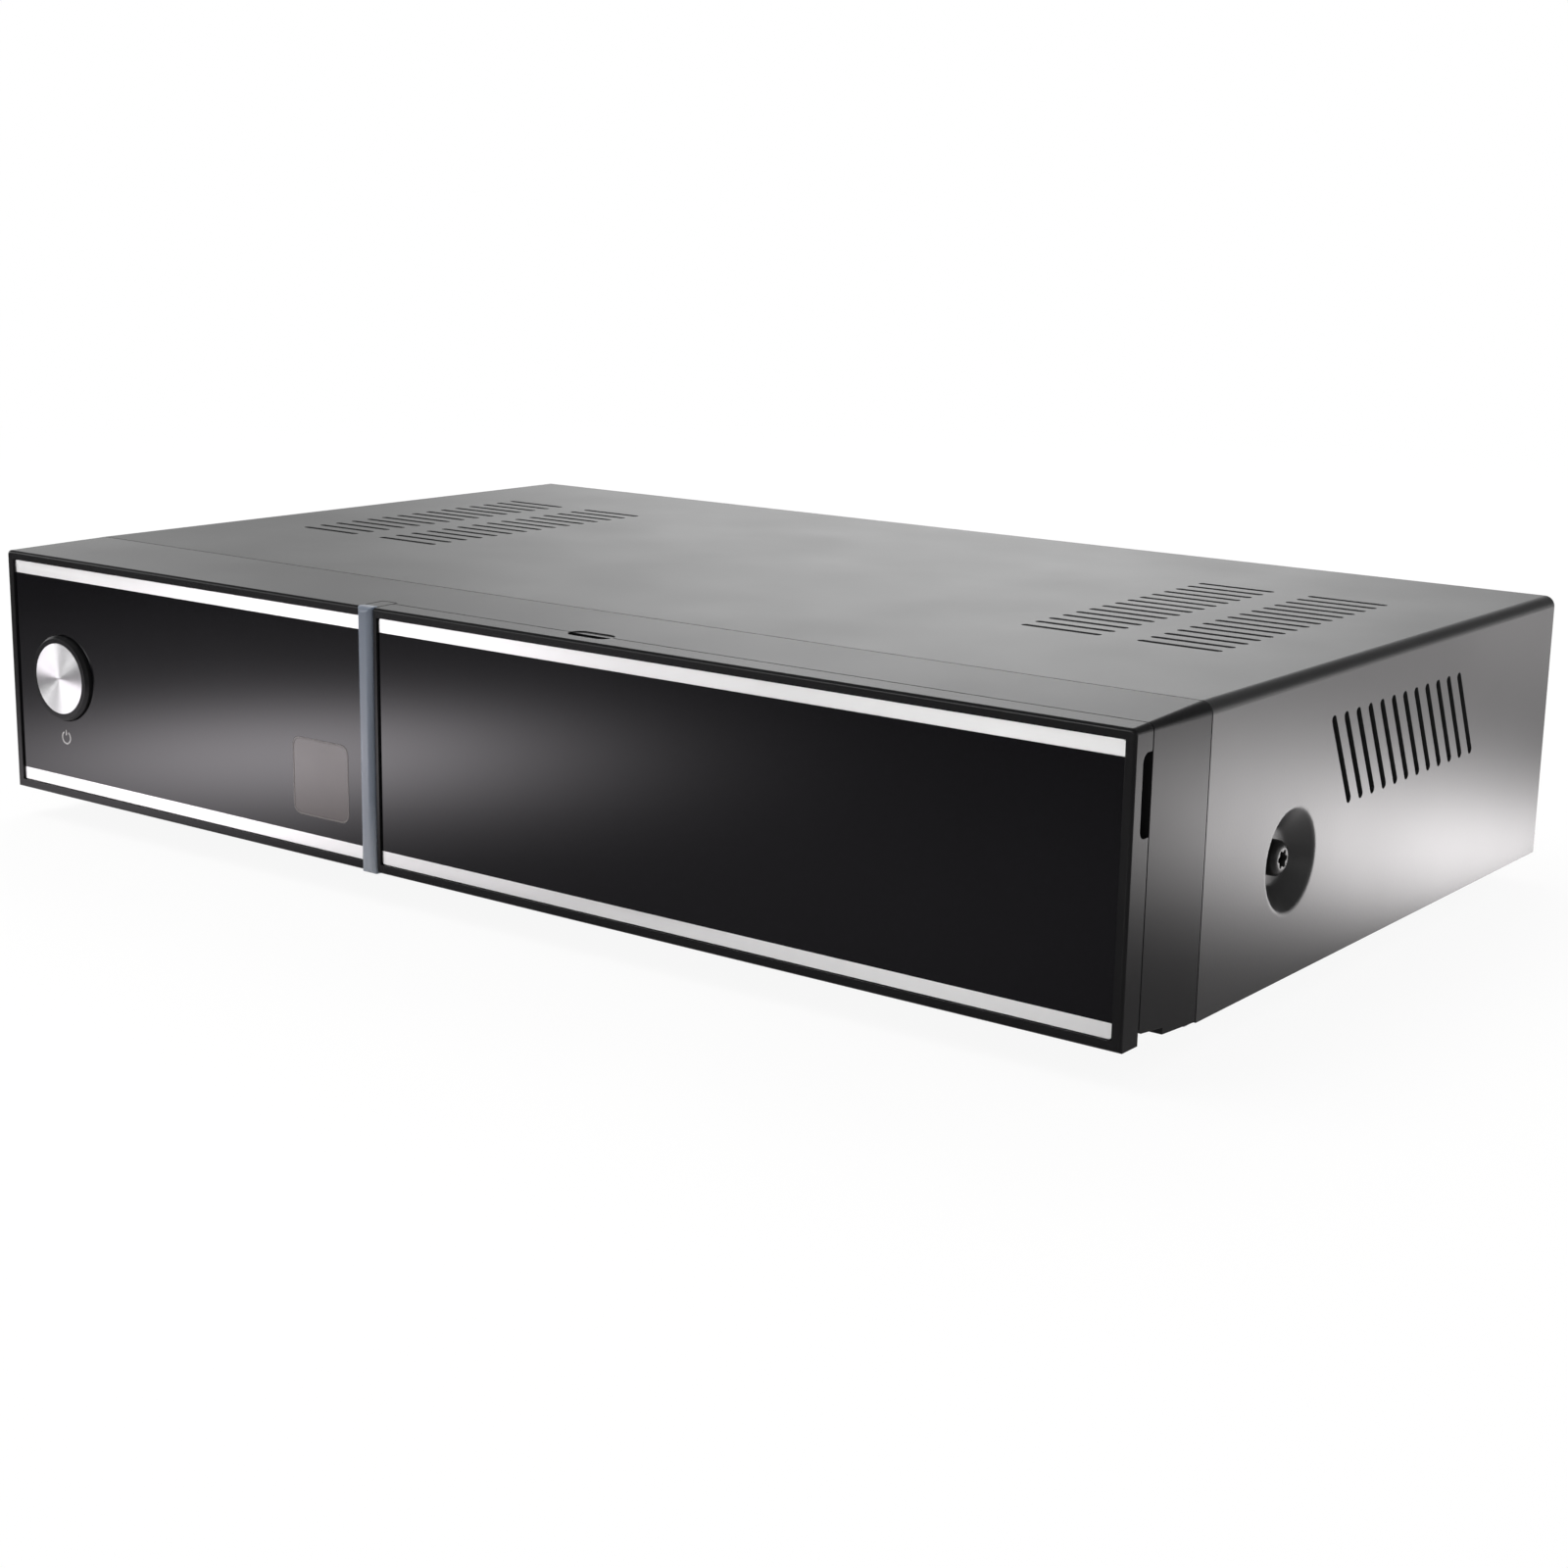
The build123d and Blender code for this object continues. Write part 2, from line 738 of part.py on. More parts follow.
def top_notch():
    """Scooped finger notch in the top edge, across the parting line."""
    x, half = right_x - top_notch_inset, top_notch_width / 2
    scoop_radius = (half ** 2 + top_notch_depth ** 2) / (2 * top_notch_depth)
    scoop_z = rim_top_z - top_notch_depth + scoop_radius
    prism = along_z(Pos(x, parting_y) * SlotOverall(top_notch_length, top_notch_width),
                    rim_top_z - top_notch_depth - beyond, rim_top_z + beyond)
    return prism & rod_x(parting_y, scoop_z, scoop_radius, x - top_notch_length, x + top_notch_length)


def housing_skin():
    """Outside of the housing: the common form with its stepped underside, less the flap's space."""
    heel_y, relief_z = front_y + heel_behind, sill_z + relief_front_height
    heel = shape((heel_y, sill_z + cavity_floor_rear), (heel_y, sill_z - heel_front_drop),
                 (seam_y, sill_z - heel_rear_drop), (seam_y, sill_z + cavity_floor_rear))
    relief = shape((parting_y, sill_z - beyond), (parting_y, relief_z),
                   (heel_y, sill_z + relief_rear_height), (heel_y, sill_z - beyond))
    corner = shape((plate_y, relief_z - relief_edge), (plate_y, relief_z + relief_edge),
                   (plate_y + relief_edge, relief_z - slip_gap),
                   (plate_y + relief_edge, relief_z - relief_edge))
    skin = front_form() - along_x(relief, left_x - beyond, right_x + beyond)
    skin += along_x(heel, left_x, right_x)
    skin -= slab(flap_left_x - beyond / 2, right_x + beyond, front_y - beyond, plate_y,
                 sill_z - beyond, cover_top_z + beyond)
    skin -= along_x(corner, flap_left_x, right_x + beyond)
    skin -= slab(notch_left_x, flap_left_x, front_y - beyond, carrier_rear_y,
                 sill_z - beyond, cover_top_z + beyond)
    return skin - slab(notch_left_x, strip_right_x, front_y, carrier_rear_y + part_gap,
                       rim_top_z - carrier_line_depth, cover_top_z + beyond)


def room(x0, x1, y0, floor):
    """One bay of the housing's inside, open to the rear."""
    return slab(x0, x1, y0, seam_y + beyond, sill_z + floor, ceiling_z)


def housing_cavity():
    """Inside of the housing: a deep bay behind the left panel, the strip's bay and the flap's bay."""
    bay_left_x, bay_right_x = left_x + wall, right_x - wall
    strip_bay_left_x, strip_bay_right_x = notch_left_x - wall, flap_left_x + wall
    space = room(bay_left_x, strip_bay_left_x, recess_rear_y, cavity_floor_front)
    space += room(strip_bay_left_x, strip_bay_right_x, carrier_rear_y + wall, cavity_floor_front)
    space += room(strip_bay_right_x, bay_right_x, plate_rear_y, cavity_floor_front)
    return space + room(bay_left_x, bay_right_x, front_y + heel_floor_behind, cavity_floor_rear)


def housing_lip():
    """Lip behind the seam that carries the cover's front edge."""
    edge = sheet + slip_gap
    foot_z = cover_bottom_z + flange_height + part_gap
    outer = rect(left_x + edge, right_x - edge, foot_z, cover_top_z - edge)
    outer = fillet(outer.vertices().group_by(Axis.Y)[-1], cover_bend - sheet)
    inner = rect(left_x + edge + housing_lip_thickness, right_x - edge - housing_lip_thickness,
                 foot_z - beyond, cover_top_z - edge - housing_lip_thickness)
    return along_y(outer - inner, seam_y, seam_y + housing_lip_length)


def hinge_slots():
    """Slots in the housing's lower edge that the flap's arms turn in."""
    reach, space = arm_width / 2 + part_gap, arm_radius + 2 * part_gap
    return [slab(x - reach, x + reach, plate_y - beyond, pivot_y + space, sill_z - beyond, pivot_z + space)
            for x in arm_xs]


def hinge_lugs():
    """Blocks beside the slots that hold the hinge pins."""
    half = arm_width / 2 + part_gap + lug_width
    return [slab(max(x - half, flap_left_x), min(x + half, right_x - beyond), plate_y + beyond,
                 pivot_y + lug_depth, sill_z + relief_front_height, pivot_z + lug_height) for x in arm_xs]


def card_opening(x, z, width, height):
    """Flared opening in the plate in front of a card slot."""
    outline = block(x, z, width + 2 * slot_flare, height + 2 * slot_flare)
    return along_y(outline, plate_y - beyond, plate_rear_y + beyond)


def flap_bay_openings():
    """Openings in the plate behind the flap."""
    eject_hole = block(eject_x, eject_z, eject_head + 2 * part_gap, eject_head + 2 * part_gap)
    usb_hole = socket_cutout(front_usb_x, usb_width, usb_height)
    return [card_opening(reader_x, reader_slot_z, reader_slot_width, reader_slot_height),
            card_opening(cage_x, cage_slot_z, cage_slot_width, cage_slot_height),
            along_y(eject_hole, plate_y - beyond, plate_rear_y + beyond),
            along_y(usb_hole, plate_y - beyond, plate_rear_y + beyond)]


def left_openings():
    """Openings for the button, the infra-red window, the display and the light strip."""
    behind_y = recess_rear_y + beyond
    display_hole = block(display_x, display_z, display_width - 2 * display_border,
                         display_height - 2 * display_border)
    stem_hole = block(strip_middle_x, strip_stem_z, strip_stem_thickness + 2 * strip_slot_gap,
                      strip_stem_height + 2 * strip_slot_gap)
    return [rod_y(button_x, button_z, button_stem_radius + slip_gap, front_y, behind_y),
            along_y(block(window_x, window_z, window_light_hole, window_light_hole), front_y, behind_y),
            along_y(display_hole, front_y, behind_y),
            along_y(stem_hole, front_y, carrier_rear_y + wall + beyond)]


def post_places():
    """The front board's screws: three of its corners."""
    low_z, high_z = front_board_bottom_z + post_inset, front_board_top_z - post_inset
    left = front_board_left_x + post_inset
    return [(left, low_z), (left, high_z), (window_x, high_z)]


def front_posts():
    """Posts behind the left panel that the front board is screwed to."""
    return [rod_y(x, z, post_radius, recess_y + wall / 2, front_board_y) for x, z in post_places()]


def front_post_bores():
    floor_y = front_board_y - post_screw_length - slip_gap
    return [rod_y(x, z, screw_hole_radius, floor_y, front_board_y + beyond) for x, z in post_places()]


def tongue_bosses():
    """Bosses over the chassis tongues."""
    boss_top_z = cover_bottom_z + front_screw_length + beyond
    return [rod_z(x, tongue_screw_y, post_radius, base_top_z + sheet, boss_top_z) for x in tongue_xs()]


def tongue_pockets():
    """Shallow pockets for the chassis tongues and corner hooks, and the bosses' bores."""
    pockets = []
    half = tongue_width / 2 + part_gap
    for x in tongue_xs():
        pockets.append(slab(x - half, x + half, seam_y - tongue_length - part_gap, seam_y + beyond,
                            cover_bottom_z - beyond, base_top_z))
        pockets.append(rod_z(x, tongue_screw_y, screw_hole_radius, cover_bottom_z,
                             cover_bottom_z + front_screw_length + slip_gap))
    for x0 in (chassis_left_x, chassis_right_x - hook_width):
        pockets.append(slab(x0 - part_gap, x0 + hook_width + part_gap, seam_y - hook_reach - part_gap,
                            seam_y + beyond, cover_bottom_z - beyond, cover_bottom_z + sheet / 2 + part_gap))
    return pockets


def front_housing():
    """Moulded front: left panel seat, plate behind the flap, hinge lugs and the lip under the cover."""
    body = housing_skin() - housing_cavity() + housing_lip()
    body = body + front_posts() + tongue_bosses() + hinge_lugs()
    body -= panel_recess(left_x + rim_width, notch_left_x + beyond)
    body = body - hinge_slots() - flap_bay_openings() - left_openings()
    body = body - front_post_bores() - tongue_pockets() - hinge_pins()
    return body - top_notch()


# ---------------------------------------------------------------- gloss panels and bands
def gloss_panel(x0, x1):
    """Gloss sheet with a rebate along its top and bottom for the bright bands."""
    panel = along_y(rect(x0, x1, panel_bottom_z, panel_top_z, panel_corner_radius), panel_front_y, recess_y)
    for low_z in (panel_bottom_z, panel_top_z - band_height):
        panel -= slab(x0 - beyond, x1 + beyond, panel_front_y - beyond, panel_front_y + band_thickness,
                      low_z, low_z + band_height)
    return panel


def bright_bands(x0, x1):
    """The two bands in the rebates of a gloss panel."""
    outline = rect(x0, x1, panel_bottom_z, panel_top_z, panel_corner_radius)
    middle = rect(x0 - beyond, x1 + beyond, panel_bottom_z + band_height, panel_top_z - band_height)
    return along_y(outline - middle, panel_front_y, panel_front_y + band_thickness).solids()


left_panel_ends = (left_x + rim_width + panel_gap, strip_left_x - panel_gap)
flap_panel_ends = (flap_left_x + flap_left_rim + panel_gap, right_x - rim_width - panel_gap)


def left_panel():
    panel = gloss_panel(*left_panel_ends)
    panel -= rod_y(button_x, button_z, button_radius + button_hole_gap, front_y - beyond, recess_y + beyond)
    opening = block(window_x, window_z, window_size + slip_gap, window_size + slip_gap, window_radius)
    return panel - along_y(opening, front_y - beyond, recess_y + beyond)


def left_bands():
    return bright_bands(*left_panel_ends)


def infrared_window():
    outline = block(window_x, window_z, window_size, window_size, window_radius)
    return along_y(outline, panel_front_y, recess_y)


# ---------------------------------------------------------------- light strip
def light_strip():
    """Clear bar, rounded and a little proud, with a thin stem that takes the light in."""
    bar = slab(strip_left_x, strip_right_x, front_y - strip_proud, front_y + strip_front_depth,
               sill_z - strip_overhang, rim_top_z + slip_gap)
    bar = fillet(bar.faces().sort_by(Axis.Y)[0].edges(), strip_edge_radius)
    stem = block(strip_middle_x, strip_stem_z, strip_stem_thickness, strip_stem_height)
    return bar + along_y(stem, front_y, front_board_y - led_bar_depth - slip_gap)


def strip_carrier():
    """Black piece behind the strip, flush with the top edge."""
    piece = front_form() & slab(strip_left_x, strip_right_x, front_y + strip_front_depth, carrier_rear_y,
                                sill_z - beyond, cover_top_z)
    slot = block(strip_middle_x, strip_stem_z, strip_stem_thickness + 2 * slip_gap,
                 strip_stem_height + 2 * slip_gap)
    return piece - along_y(slot, front_y, carrier_rear_y + beyond)


# ---------------------------------------------------------------- flap
def flap_ribs():
    """Upright ribs on the flap's back."""
    step = flap_width / (flap_rib_count + 1)
    middles = [flap_left_x + (index + 1) * step for index in range(flap_rib_count)]
    half = flap_rib_thickness / 2
    return [slab(x - half, x + half, flap_hollow_y - beyond / 2, flap_rear_y - flap_rib_gap,
                 sill_z + flap_wall / 2, rim_top_z - flap_wall / 2) for x in middles]


def hinge_arm(x):
    """Arm from the flap's back down and back to the hinge pin."""
    root_y, foot_z = recess_y + flap_back / 2, sill_z + arm_foot
    web = shape((root_y, foot_z), (root_y, pivot_z + arm_radius), (pivot_y, pivot_z + arm_radius),
                (pivot_y, pivot_z - arm_radius), (flap_rear_y, foot_z))
    x0, x1 = x - arm_width / 2, x + arm_width / 2
    arm = along_x(web, x0, x1) + rod_x(pivot_y, pivot_z, arm_radius, x0, x1)
    return arm - rod_x(pivot_y, pivot_z, pin_radius + pin_fit, x0 - beyond, x1 + beyond)


def side_notch():
    """Finger notch in the flap's right end, open to the parting line."""
    top_z = rim_top_z - side_notch_drop
    outline = rect(front_y + side_notch_front, flap_rear_y + side_notch_radius + beyond,
                   top_z - side_notch_height, top_z, side_notch_radius)
    return along_x(outline, right_x - flap_wall - slip_gap, right_x + beyond)


def flap_frame():
    """Moulded flap: rim, back plate with ribs, hinge arms and the two finger notches."""
    frame = front_form() & slab(flap_left_x, right_x + beyond, front_y - beyond, flap_rear_y,
                                sill_z - beyond, cover_top_z + beyond)
    frame -= panel_recess(flap_left_x + flap_left_rim, right_x - rim_width)
    frame -= slab(flap_left_x + flap_wall, right_x - flap_wall, flap_hollow_y, flap_rear_y + beyond,
                  sill_z + flap_wall, rim_top_z - flap_wall)
    frame = frame + flap_ribs() + [hinge_arm(x) for x in arm_xs]
    return frame - top_notch() - side_notch()


def flap_panel():
    return gloss_panel(*flap_panel_ends)


def flap_bands():
    return bright_bands(*flap_panel_ends)


def hinge_pins():
    """Two steel pins held in the housing's lugs."""
    return [rod_x(pivot_y, pivot_z, pin_radius, x - pin_length / 2, x + pin_length / 2) for x in arm_xs]


# ---------------------------------------------------------------- power button
def power_button_cap():
    """Black cap with a bevelled rim, its stem and the collar that snaps behind the housing."""
    bevel_y = button_face_y + button_bevel
    collar_y = recess_rear_y + part_gap
    cap = rod_y(button_x, button_z, button_radius, bevel_y, front_y + button_back)
    cap += cone((button_x, bevel_y, button_z), (0, -1, 0), button_radius, button_front_radius, button_bevel)
    cap -= rod_y(button_x, button_z, button_disc_radius + slip_gap, button_face_y - beyond,
                 button_face_y + button_disc_thickness)
    cap += rod_y(button_x, button_z, button_stem_radius, front_y + button_back, plunger_front_y)
    return cap + rod_y(button_x, button_z, button_collar_radius, collar_y, collar_y + button_collar_thickness)


def power_button_disc():
    """Turned aluminium disc in the cap."""
    return rod_y(button_x, button_z, button_disc_radius, button_face_y, button_face_y + button_disc_thickness)


def power_key():
    """Body of the key switch on the front board."""
    body = along_y(block(button_x, button_z, key_size, key_size), key_front_y, front_board_y)
    floor_y = key_front_y + plunger_depth + button_travel + part_gap
    return body - rod_y(button_x, button_z, plunger_radius + slip_gap, key_front_y - beyond, floor_y)


def power_key_plunger():
    return rod_y(button_x, button_z, plunger_radius, plunger_front_y, key_front_y + plunger_depth)


# ---------------------------------------------------------------- front board and what is on it
def front_board():
    board = slab(front_board_left_x, front_board_right_x, front_board_y, front_board_rear_y,
                 front_board_bottom_z, front_board_top_z)
    for x, z in post_places():
        board -= rod_y(x, z, screw_hole_radius, front_board_y - beyond, front_board_rear_y + beyond)
    return board


def front_board_screws():
    return [screw(low_head_height, post_screw_length, (x, front_board_rear_y, z), (0, -1, 0))
            for x, z in post_places()]


def display_module():
    outline = block(display_x, display_z, display_width, display_height)
    return along_y(outline, front_board_y - display_depth, front_board_y)


def infrared_receiver():
    """Receiver with its round lens facing the window."""
    face_y = front_board_y - receiver_depth
    body = along_y(block(window_x, window_z, receiver_width, receiver_height), face_y, front_board_y)
    lens_radius = receiver_width / 2 - slip_gap
    return body + rod_y(window_x, window_z, lens_radius, face_y - receiver_lens_height, face_y)


def light_bar_leds():
    outline = block(strip_middle_x, strip_stem_z, led_bar_width, led_bar_height)
    return along_y(outline, front_board_y - led_bar_depth, front_board_y)


def board_link():
    """Right-angle pin header from the main board's front edge to the front board."""
    left = left_x + link_inset - link_pins * link_spacing / 2
    pin_z, half = board_top_z + link_body / 2, link_pin_size / 2
    header = slab(left, left + link_pins * link_spacing, board_left_front_y, board_left_front_y + link_body,
                  board_top_z, board_top_z + link_body)
    middles = [left + (index + 0.5) * link_spacing for index in range(link_pins)]
    return header + [slab(x - half, x + half, front_board_rear_y, board_left_front_y + link_body / 2,
                          pin_z - half, pin_z + half) for x in middles]


# ---------------------------------------------------------------- main board and what is on it
def board_screw_places():
    """The main board's screws: front row, then rear row."""
    front, rear = front_y + board_screw_front, board_rear_y - board_screw_rear
    left, right = board_left_x + board_screw_inset, board_right_x - board_screw_inset
    return [(left, front), (board_step_x - board_screw_inset, front), (right, front),
            (left, rear), (aerial_x, rear), (right, rear)]


def main_board():
    """Board with its front edge stepped back behind the left panel."""
    outline = shape((board_left_x, board_left_front_y), (board_step_x, board_left_front_y),
                    (board_step_x, board_front_y), (board_right_x, board_front_y),
                    (board_right_x, board_rear_y), (board_left_x, board_rear_y))
    board = along_z(outline, board_bottom_z, board_top_z)
    for x, y in board_screw_places():
        board -= rod_z(x, y, screw_hole_radius, board_bottom_z - beyond, board_top_z + beyond)
    return board


def standoffs():
    """Brass hexagons between the base and the main board."""
    pieces = []
    for x, y in board_screw_places():
        hexagon = Pos(x, y) * RegularPolygon(standoff_across / 2, 6, major_radius=False)
        bore = rod_z(x, y, screw_hole_radius, board_top_z - board_screw_length - slip_gap,
                     board_bottom_z + beyond)
        pieces.append(along_z(hexagon, base_top_z, board_bottom_z) - bore)
    return pieces


def board_screws():
    return [screw(low_head_height, board_screw_length, (x, y, board_top_z), (0, 0, -1))
            for x, y in board_screw_places()]


def on_board(x, y, width, length, height, base=0.0):
    """Block on the main board, or a height above it, placed by its middle."""
    return slab(x - width / 2, x + width / 2, y - length / 2, y + length / 2,
                board_top_z + base, board_top_z + base + height)


def processor():
    return on_board(processor_x, processor_y, processor_size, processor_size, processor_height)


def heat_sink():
    """Base plate with upright fins."""
    sink = on_board(processor_x, processor_y, sink_size, sink_size, sink_base, processor_height)
    step = (sink_size - fin_thickness) / (fin_count - 1)
    first = processor_x - (sink_size - fin_thickness) / 2
    return sink + [on_board(first + index * step, processor_y, fin_thickness, sink_size, sink_height,
                            processor_height) for index in range(fin_count)]


def memory_chips():
    x = processor_x + sink_size / 2 + memory_gap + memory_width / 2
    first = processor_y - (memory_count - 1) * memory_pitch / 2
    return [on_board(x, first + index * memory_pitch, memory_width, memory_length, memory_height)
            for index in range(memory_count)]


def capacitors():
    return [rod_z(left_x + can_inset, front_y + can_offset + index * can_pitch, can_radius,
                  board_top_z, board_top_z + can_height) for index in range(can_count)]


def power_coils():
    return [on_board(left_x + coil_inset, front_y + coil_offset + index * coil_pitch, coil_size, coil_size,
                     coil_height) for index in range(coil_count)]


def card_reader():
    """Smart card reader: a flat box with a thin slot in front."""
    body = slab(reader_x - reader_width / 2, reader_x + reader_width / 2, card_front_y,
                card_front_y + reader_length, board_top_z, board_top_z + reader_height)
    slot = block(reader_x, reader_slot_z, reader_slot_width, reader_slot_height)
    return body - along_y(slot, card_front_y - beyond, card_front_y + reader_slot_length)


def card_cage():
    """Cage of the common-interface card, with the channel that guides the eject button."""
    body = slab(cage_x - cage_width / 2, cage_right_x, card_front_y, card_front_y + cage_length,
                board_top_z, board_top_z + cage_height)
    slot = block(cage_x, cage_slot_z, cage_slot_width, cage_slot_height)
    body -= along_y(slot, card_front_y - beyond, card_front_y + cage_slot_length)
    channel_x = eject_x + eject_width / 2 + part_gap
    shelf_z = eject_z - eject_height / 2 - part_gap
    channel = rect(cage_right_x, channel_x + guide_thickness, shelf_z - guide_thickness, shelf_z)
    channel += rect(channel_x, channel_x + guide_thickness, shelf_z - guide_thickness, shelf_z + eject_height)
    return body + along_y(channel, eject_face_y + eject_head_depth + eject_travel + part_gap,
                          eject_face_y + eject_length)


def eject_button():
    """Square head in the plate and the rod that pushes the card out."""
    shoulder_y = eject_face_y + eject_head_depth
    head = along_y(block(eject_x, eject_z, eject_head, eject_head), eject_face_y, shoulder_y)
    head = fillet(head.faces().sort_by(Axis.Y)[0].edges(), slot_flare)
    return head + along_y(block(eject_x, eject_z, eject_width, eject_height), shoulder_y,
                          eject_face_y + eject_length)


def usb_mouth(x, z0, face_y, way):
    """Mouth of one socket in a shell that starts at z0: it faces front (-1) or rear (+1)."""
    floor_y = face_y - way * usb_mouth_depth
    outline = rect(x - usb_width / 2 + usb_shell, x + usb_width / 2 - usb_shell,
                   z0 + usb_shell, z0 + usb_height - usb_shell)
    return along_y(outline, min(face_y + way * beyond, floor_y), max(face_y + way * beyond, floor_y))


def usb_tongue(x, z0, face_y, way):
    """Contact tongue under the roof of one socket's mouth."""
    tip_y, floor_y = face_y - way * usb_tongue_setback, face_y - way * usb_mouth_depth
    top_z = z0 + usb_height - usb_shell - usb_tongue_gap
    outline = rect(x - usb_tongue_width / 2, x + usb_tongue_width / 2, top_z - usb_tongue_height, top_z)
    return along_y(outline, min(tip_y, floor_y), max(tip_y, floor_y))


def front_usb():
    face_y = plate_y + usb_setback
    body = along_y(rect(front_usb_x - usb_width / 2, front_usb_x + usb_width / 2,
                        board_top_z, board_top_z + usb_height), face_y, face_y + usb_length)
    body -= usb_mouth(front_usb_x, board_top_z, face_y, -1)
    return body + usb_tongue(front_usb_x, board_top_z, face_y, -1)


# ---------------------------------------------------------------- rear sockets
def rear_box(x, width, length, height):
    """Socket body that stands on the board and comes through the rear wall."""
    return slab(x - width / 2, x + width / 2, socket_face_y - length, socket_face_y,
                board_top_z, board_top_z + height)


def hdmi_socket():
    """Socket with the tapered mouth and its tongue."""
    z, half, slope = board_top_z + hdmi_height / 2, hdmi_mouth_width / 2, hdmi_mouth_slope
    low, high = z - hdmi_mouth_height / 2, z + hdmi_mouth_height / 2
    mouth = shape((hdmi_x - half + slope, low), (hdmi_x + half - slope, low), (hdmi_x + half, low + slope),
                  (hdmi_x + half, high), (hdmi_x - half, high), (hdmi_x - half, low + slope))
    tongue = block(hdmi_x, z, hdmi_tongue_width, hdmi_tongue_height)
    floor_y = socket_face_y - hdmi_mouth_depth
    body = rear_box(hdmi_x, hdmi_width, hdmi_length, hdmi_height)
    body -= along_y(mouth, floor_y, socket_face_y + beyond)
    return body + along_y(tongue, floor_y, socket_face_y - usb_tongue_setback)


def usb_stack():
    """Two sockets one above the other in one shell."""
    body = rear_box(stack_x, usb_width, usb_length, stack_height)
    for z0 in (board_top_z, board_top_z + stack_pitch):
        body = body - usb_mouth(stack_x, z0, socket_face_y, 1) + usb_tongue(stack_x, z0, socket_face_y, 1)
    return body


def network_socket():
    """Eight-way modular socket with the latch's step in its floor."""
    floor_z = board_top_z + ethernet_mouth_rise
    mouth = rect(ethernet_x - ethernet_mouth_width / 2, ethernet_x + ethernet_mouth_width / 2,
                 floor_z, floor_z + ethernet_mouth_height)
    mouth += rect(ethernet_x - ethernet_latch_width / 2, ethernet_x + ethernet_latch_width / 2,
                  floor_z - ethernet_latch_height, floor_z + ethernet_latch_height)
    body = rear_box(ethernet_x, ethernet_width, ethernet_length, ethernet_height)
    return body - along_y(mouth, socket_face_y - ethernet_mouth_depth, socket_face_y + beyond)


def optical_socket():
    """Square socket with a lens at the bottom of its mouth."""
    floor_y = socket_face_y - optical_mouth_depth - shutter_setback
    body = rear_box(optical_x, optical_size, optical_length, optical_size)
    mouth = block(optical_x, optical_z, optical_mouth, optical_mouth)
    body -= along_y(mouth, floor_y, socket_face_y + beyond)
    return body + rod_y(optical_x, optical_z, optical_lens_radius, floor_y - beyond,
                        floor_y + optical_lens_length)


def optical_shutter():
    """Door of the optical socket, hung at its top."""
    half = (optical_mouth - part_gap) / 2
    door_y = shutter_y + shutter_barrel_radius
    door = slab(optical_x - half, optical_x + half, door_y - shutter_thickness, door_y,
                optical_z - half, shutter_z)
    return door + rod_x(shutter_y, shutter_z, shutter_barrel_radius, optical_x - half, optical_x + half)


def power_inlet():
    """Low-voltage barrel socket with its centre pin."""
    floor_y = socket_face_y - inlet_depth
    body = rear_box(inlet_x, inlet_width, inlet_length, inlet_height)
    body -= rod_y(inlet_x, inlet_z, inlet_bore_radius, floor_y, socket_face_y + beyond)
    return body + rod_y(inlet_x, inlet_z, inlet_pin_radius, floor_y - beyond,
                        socket_face_y - usb_tongue_setback)


def rocker_housing():
    """Snap-in body of the power switch, with its frame against the rear wall."""
    frame_y = wall_outer_y + rocker_bezel_thickness
    frame = along_y(block(rocker_x, rocker_z, rocker_bezel_width, rocker_bezel_height, rocker_bezel_radius),
                    wall_outer_y, frame_y)
    body = along_y(block(rocker_x, rocker_z, rocker_body_width, rocker_body_height),
                   wall_outer_y - rocker_body_depth, wall_outer_y)
    well = along_y(block(rocker_x, rocker_z, rocker_cap_width + 2 * rocker_clearance,
                         rocker_cap_height + 2 * rocker_end_clearance),
                   rocker_pivot_y - rocker_cap_back - rocker_end_clearance, frame_y + beyond)
    reach = rocker_cap_width / 2 + rocker_pivot_length + slip_gap
    bore = rod_x(rocker_pivot_y, rocker_z, rocker_pivot_radius + pin_fit, rocker_x - reach, rocker_x + reach)
    return frame + body - well - bore


def rocker_cap():
    """Rocker with a shallow V face and its two pivot pins, lying in the off position."""
    half, back = rocker_cap_height / 2, rocker_cap_back_height / 2
    profile = shape((rocker_cap_end, half), (rocker_cap_dip, 0), (rocker_cap_end, -half),
                    (0, -half), (-rocker_cap_back, -back), (-rocker_cap_back, back), (0, half))
    tilted = Pos(rocker_pivot_y, rocker_z) * (Rot(0, 0, -rocker_tilt) * profile)
    reach = rocker_cap_width / 2
    cap = along_x(tilted, rocker_x - reach, rocker_x + reach)
    reach += rocker_pivot_length
    return cap + rod_x(rocker_pivot_y, rocker_z, rocker_pivot_radius, rocker_x - reach, rocker_x + reach)


# ---------------------------------------------------------------- tuners
def tuner_can(x0, x1):
    """Closed screening can against the inside of the rear wall, with a stepped lid."""
    y0 = wall_inner_y - tuner_length
    can = slab(x0, x1, y0, wall_inner_y, board_top_z, board_top_z + tuner_height - tuner_skin)
    return can + slab(x0 + tuner_skin, x1 - tuner_skin, y0 + tuner_skin, wall_inner_y - tuner_skin,
                      board_top_z, board_top_z + tuner_height)


def sat_tuner():
    return tuner_can(sat_tuner_left_x, sat_tuner_right_x)


def cable_tuner():
    return tuner_can(cable_tuner_left_x, cable_tuner_right_x)


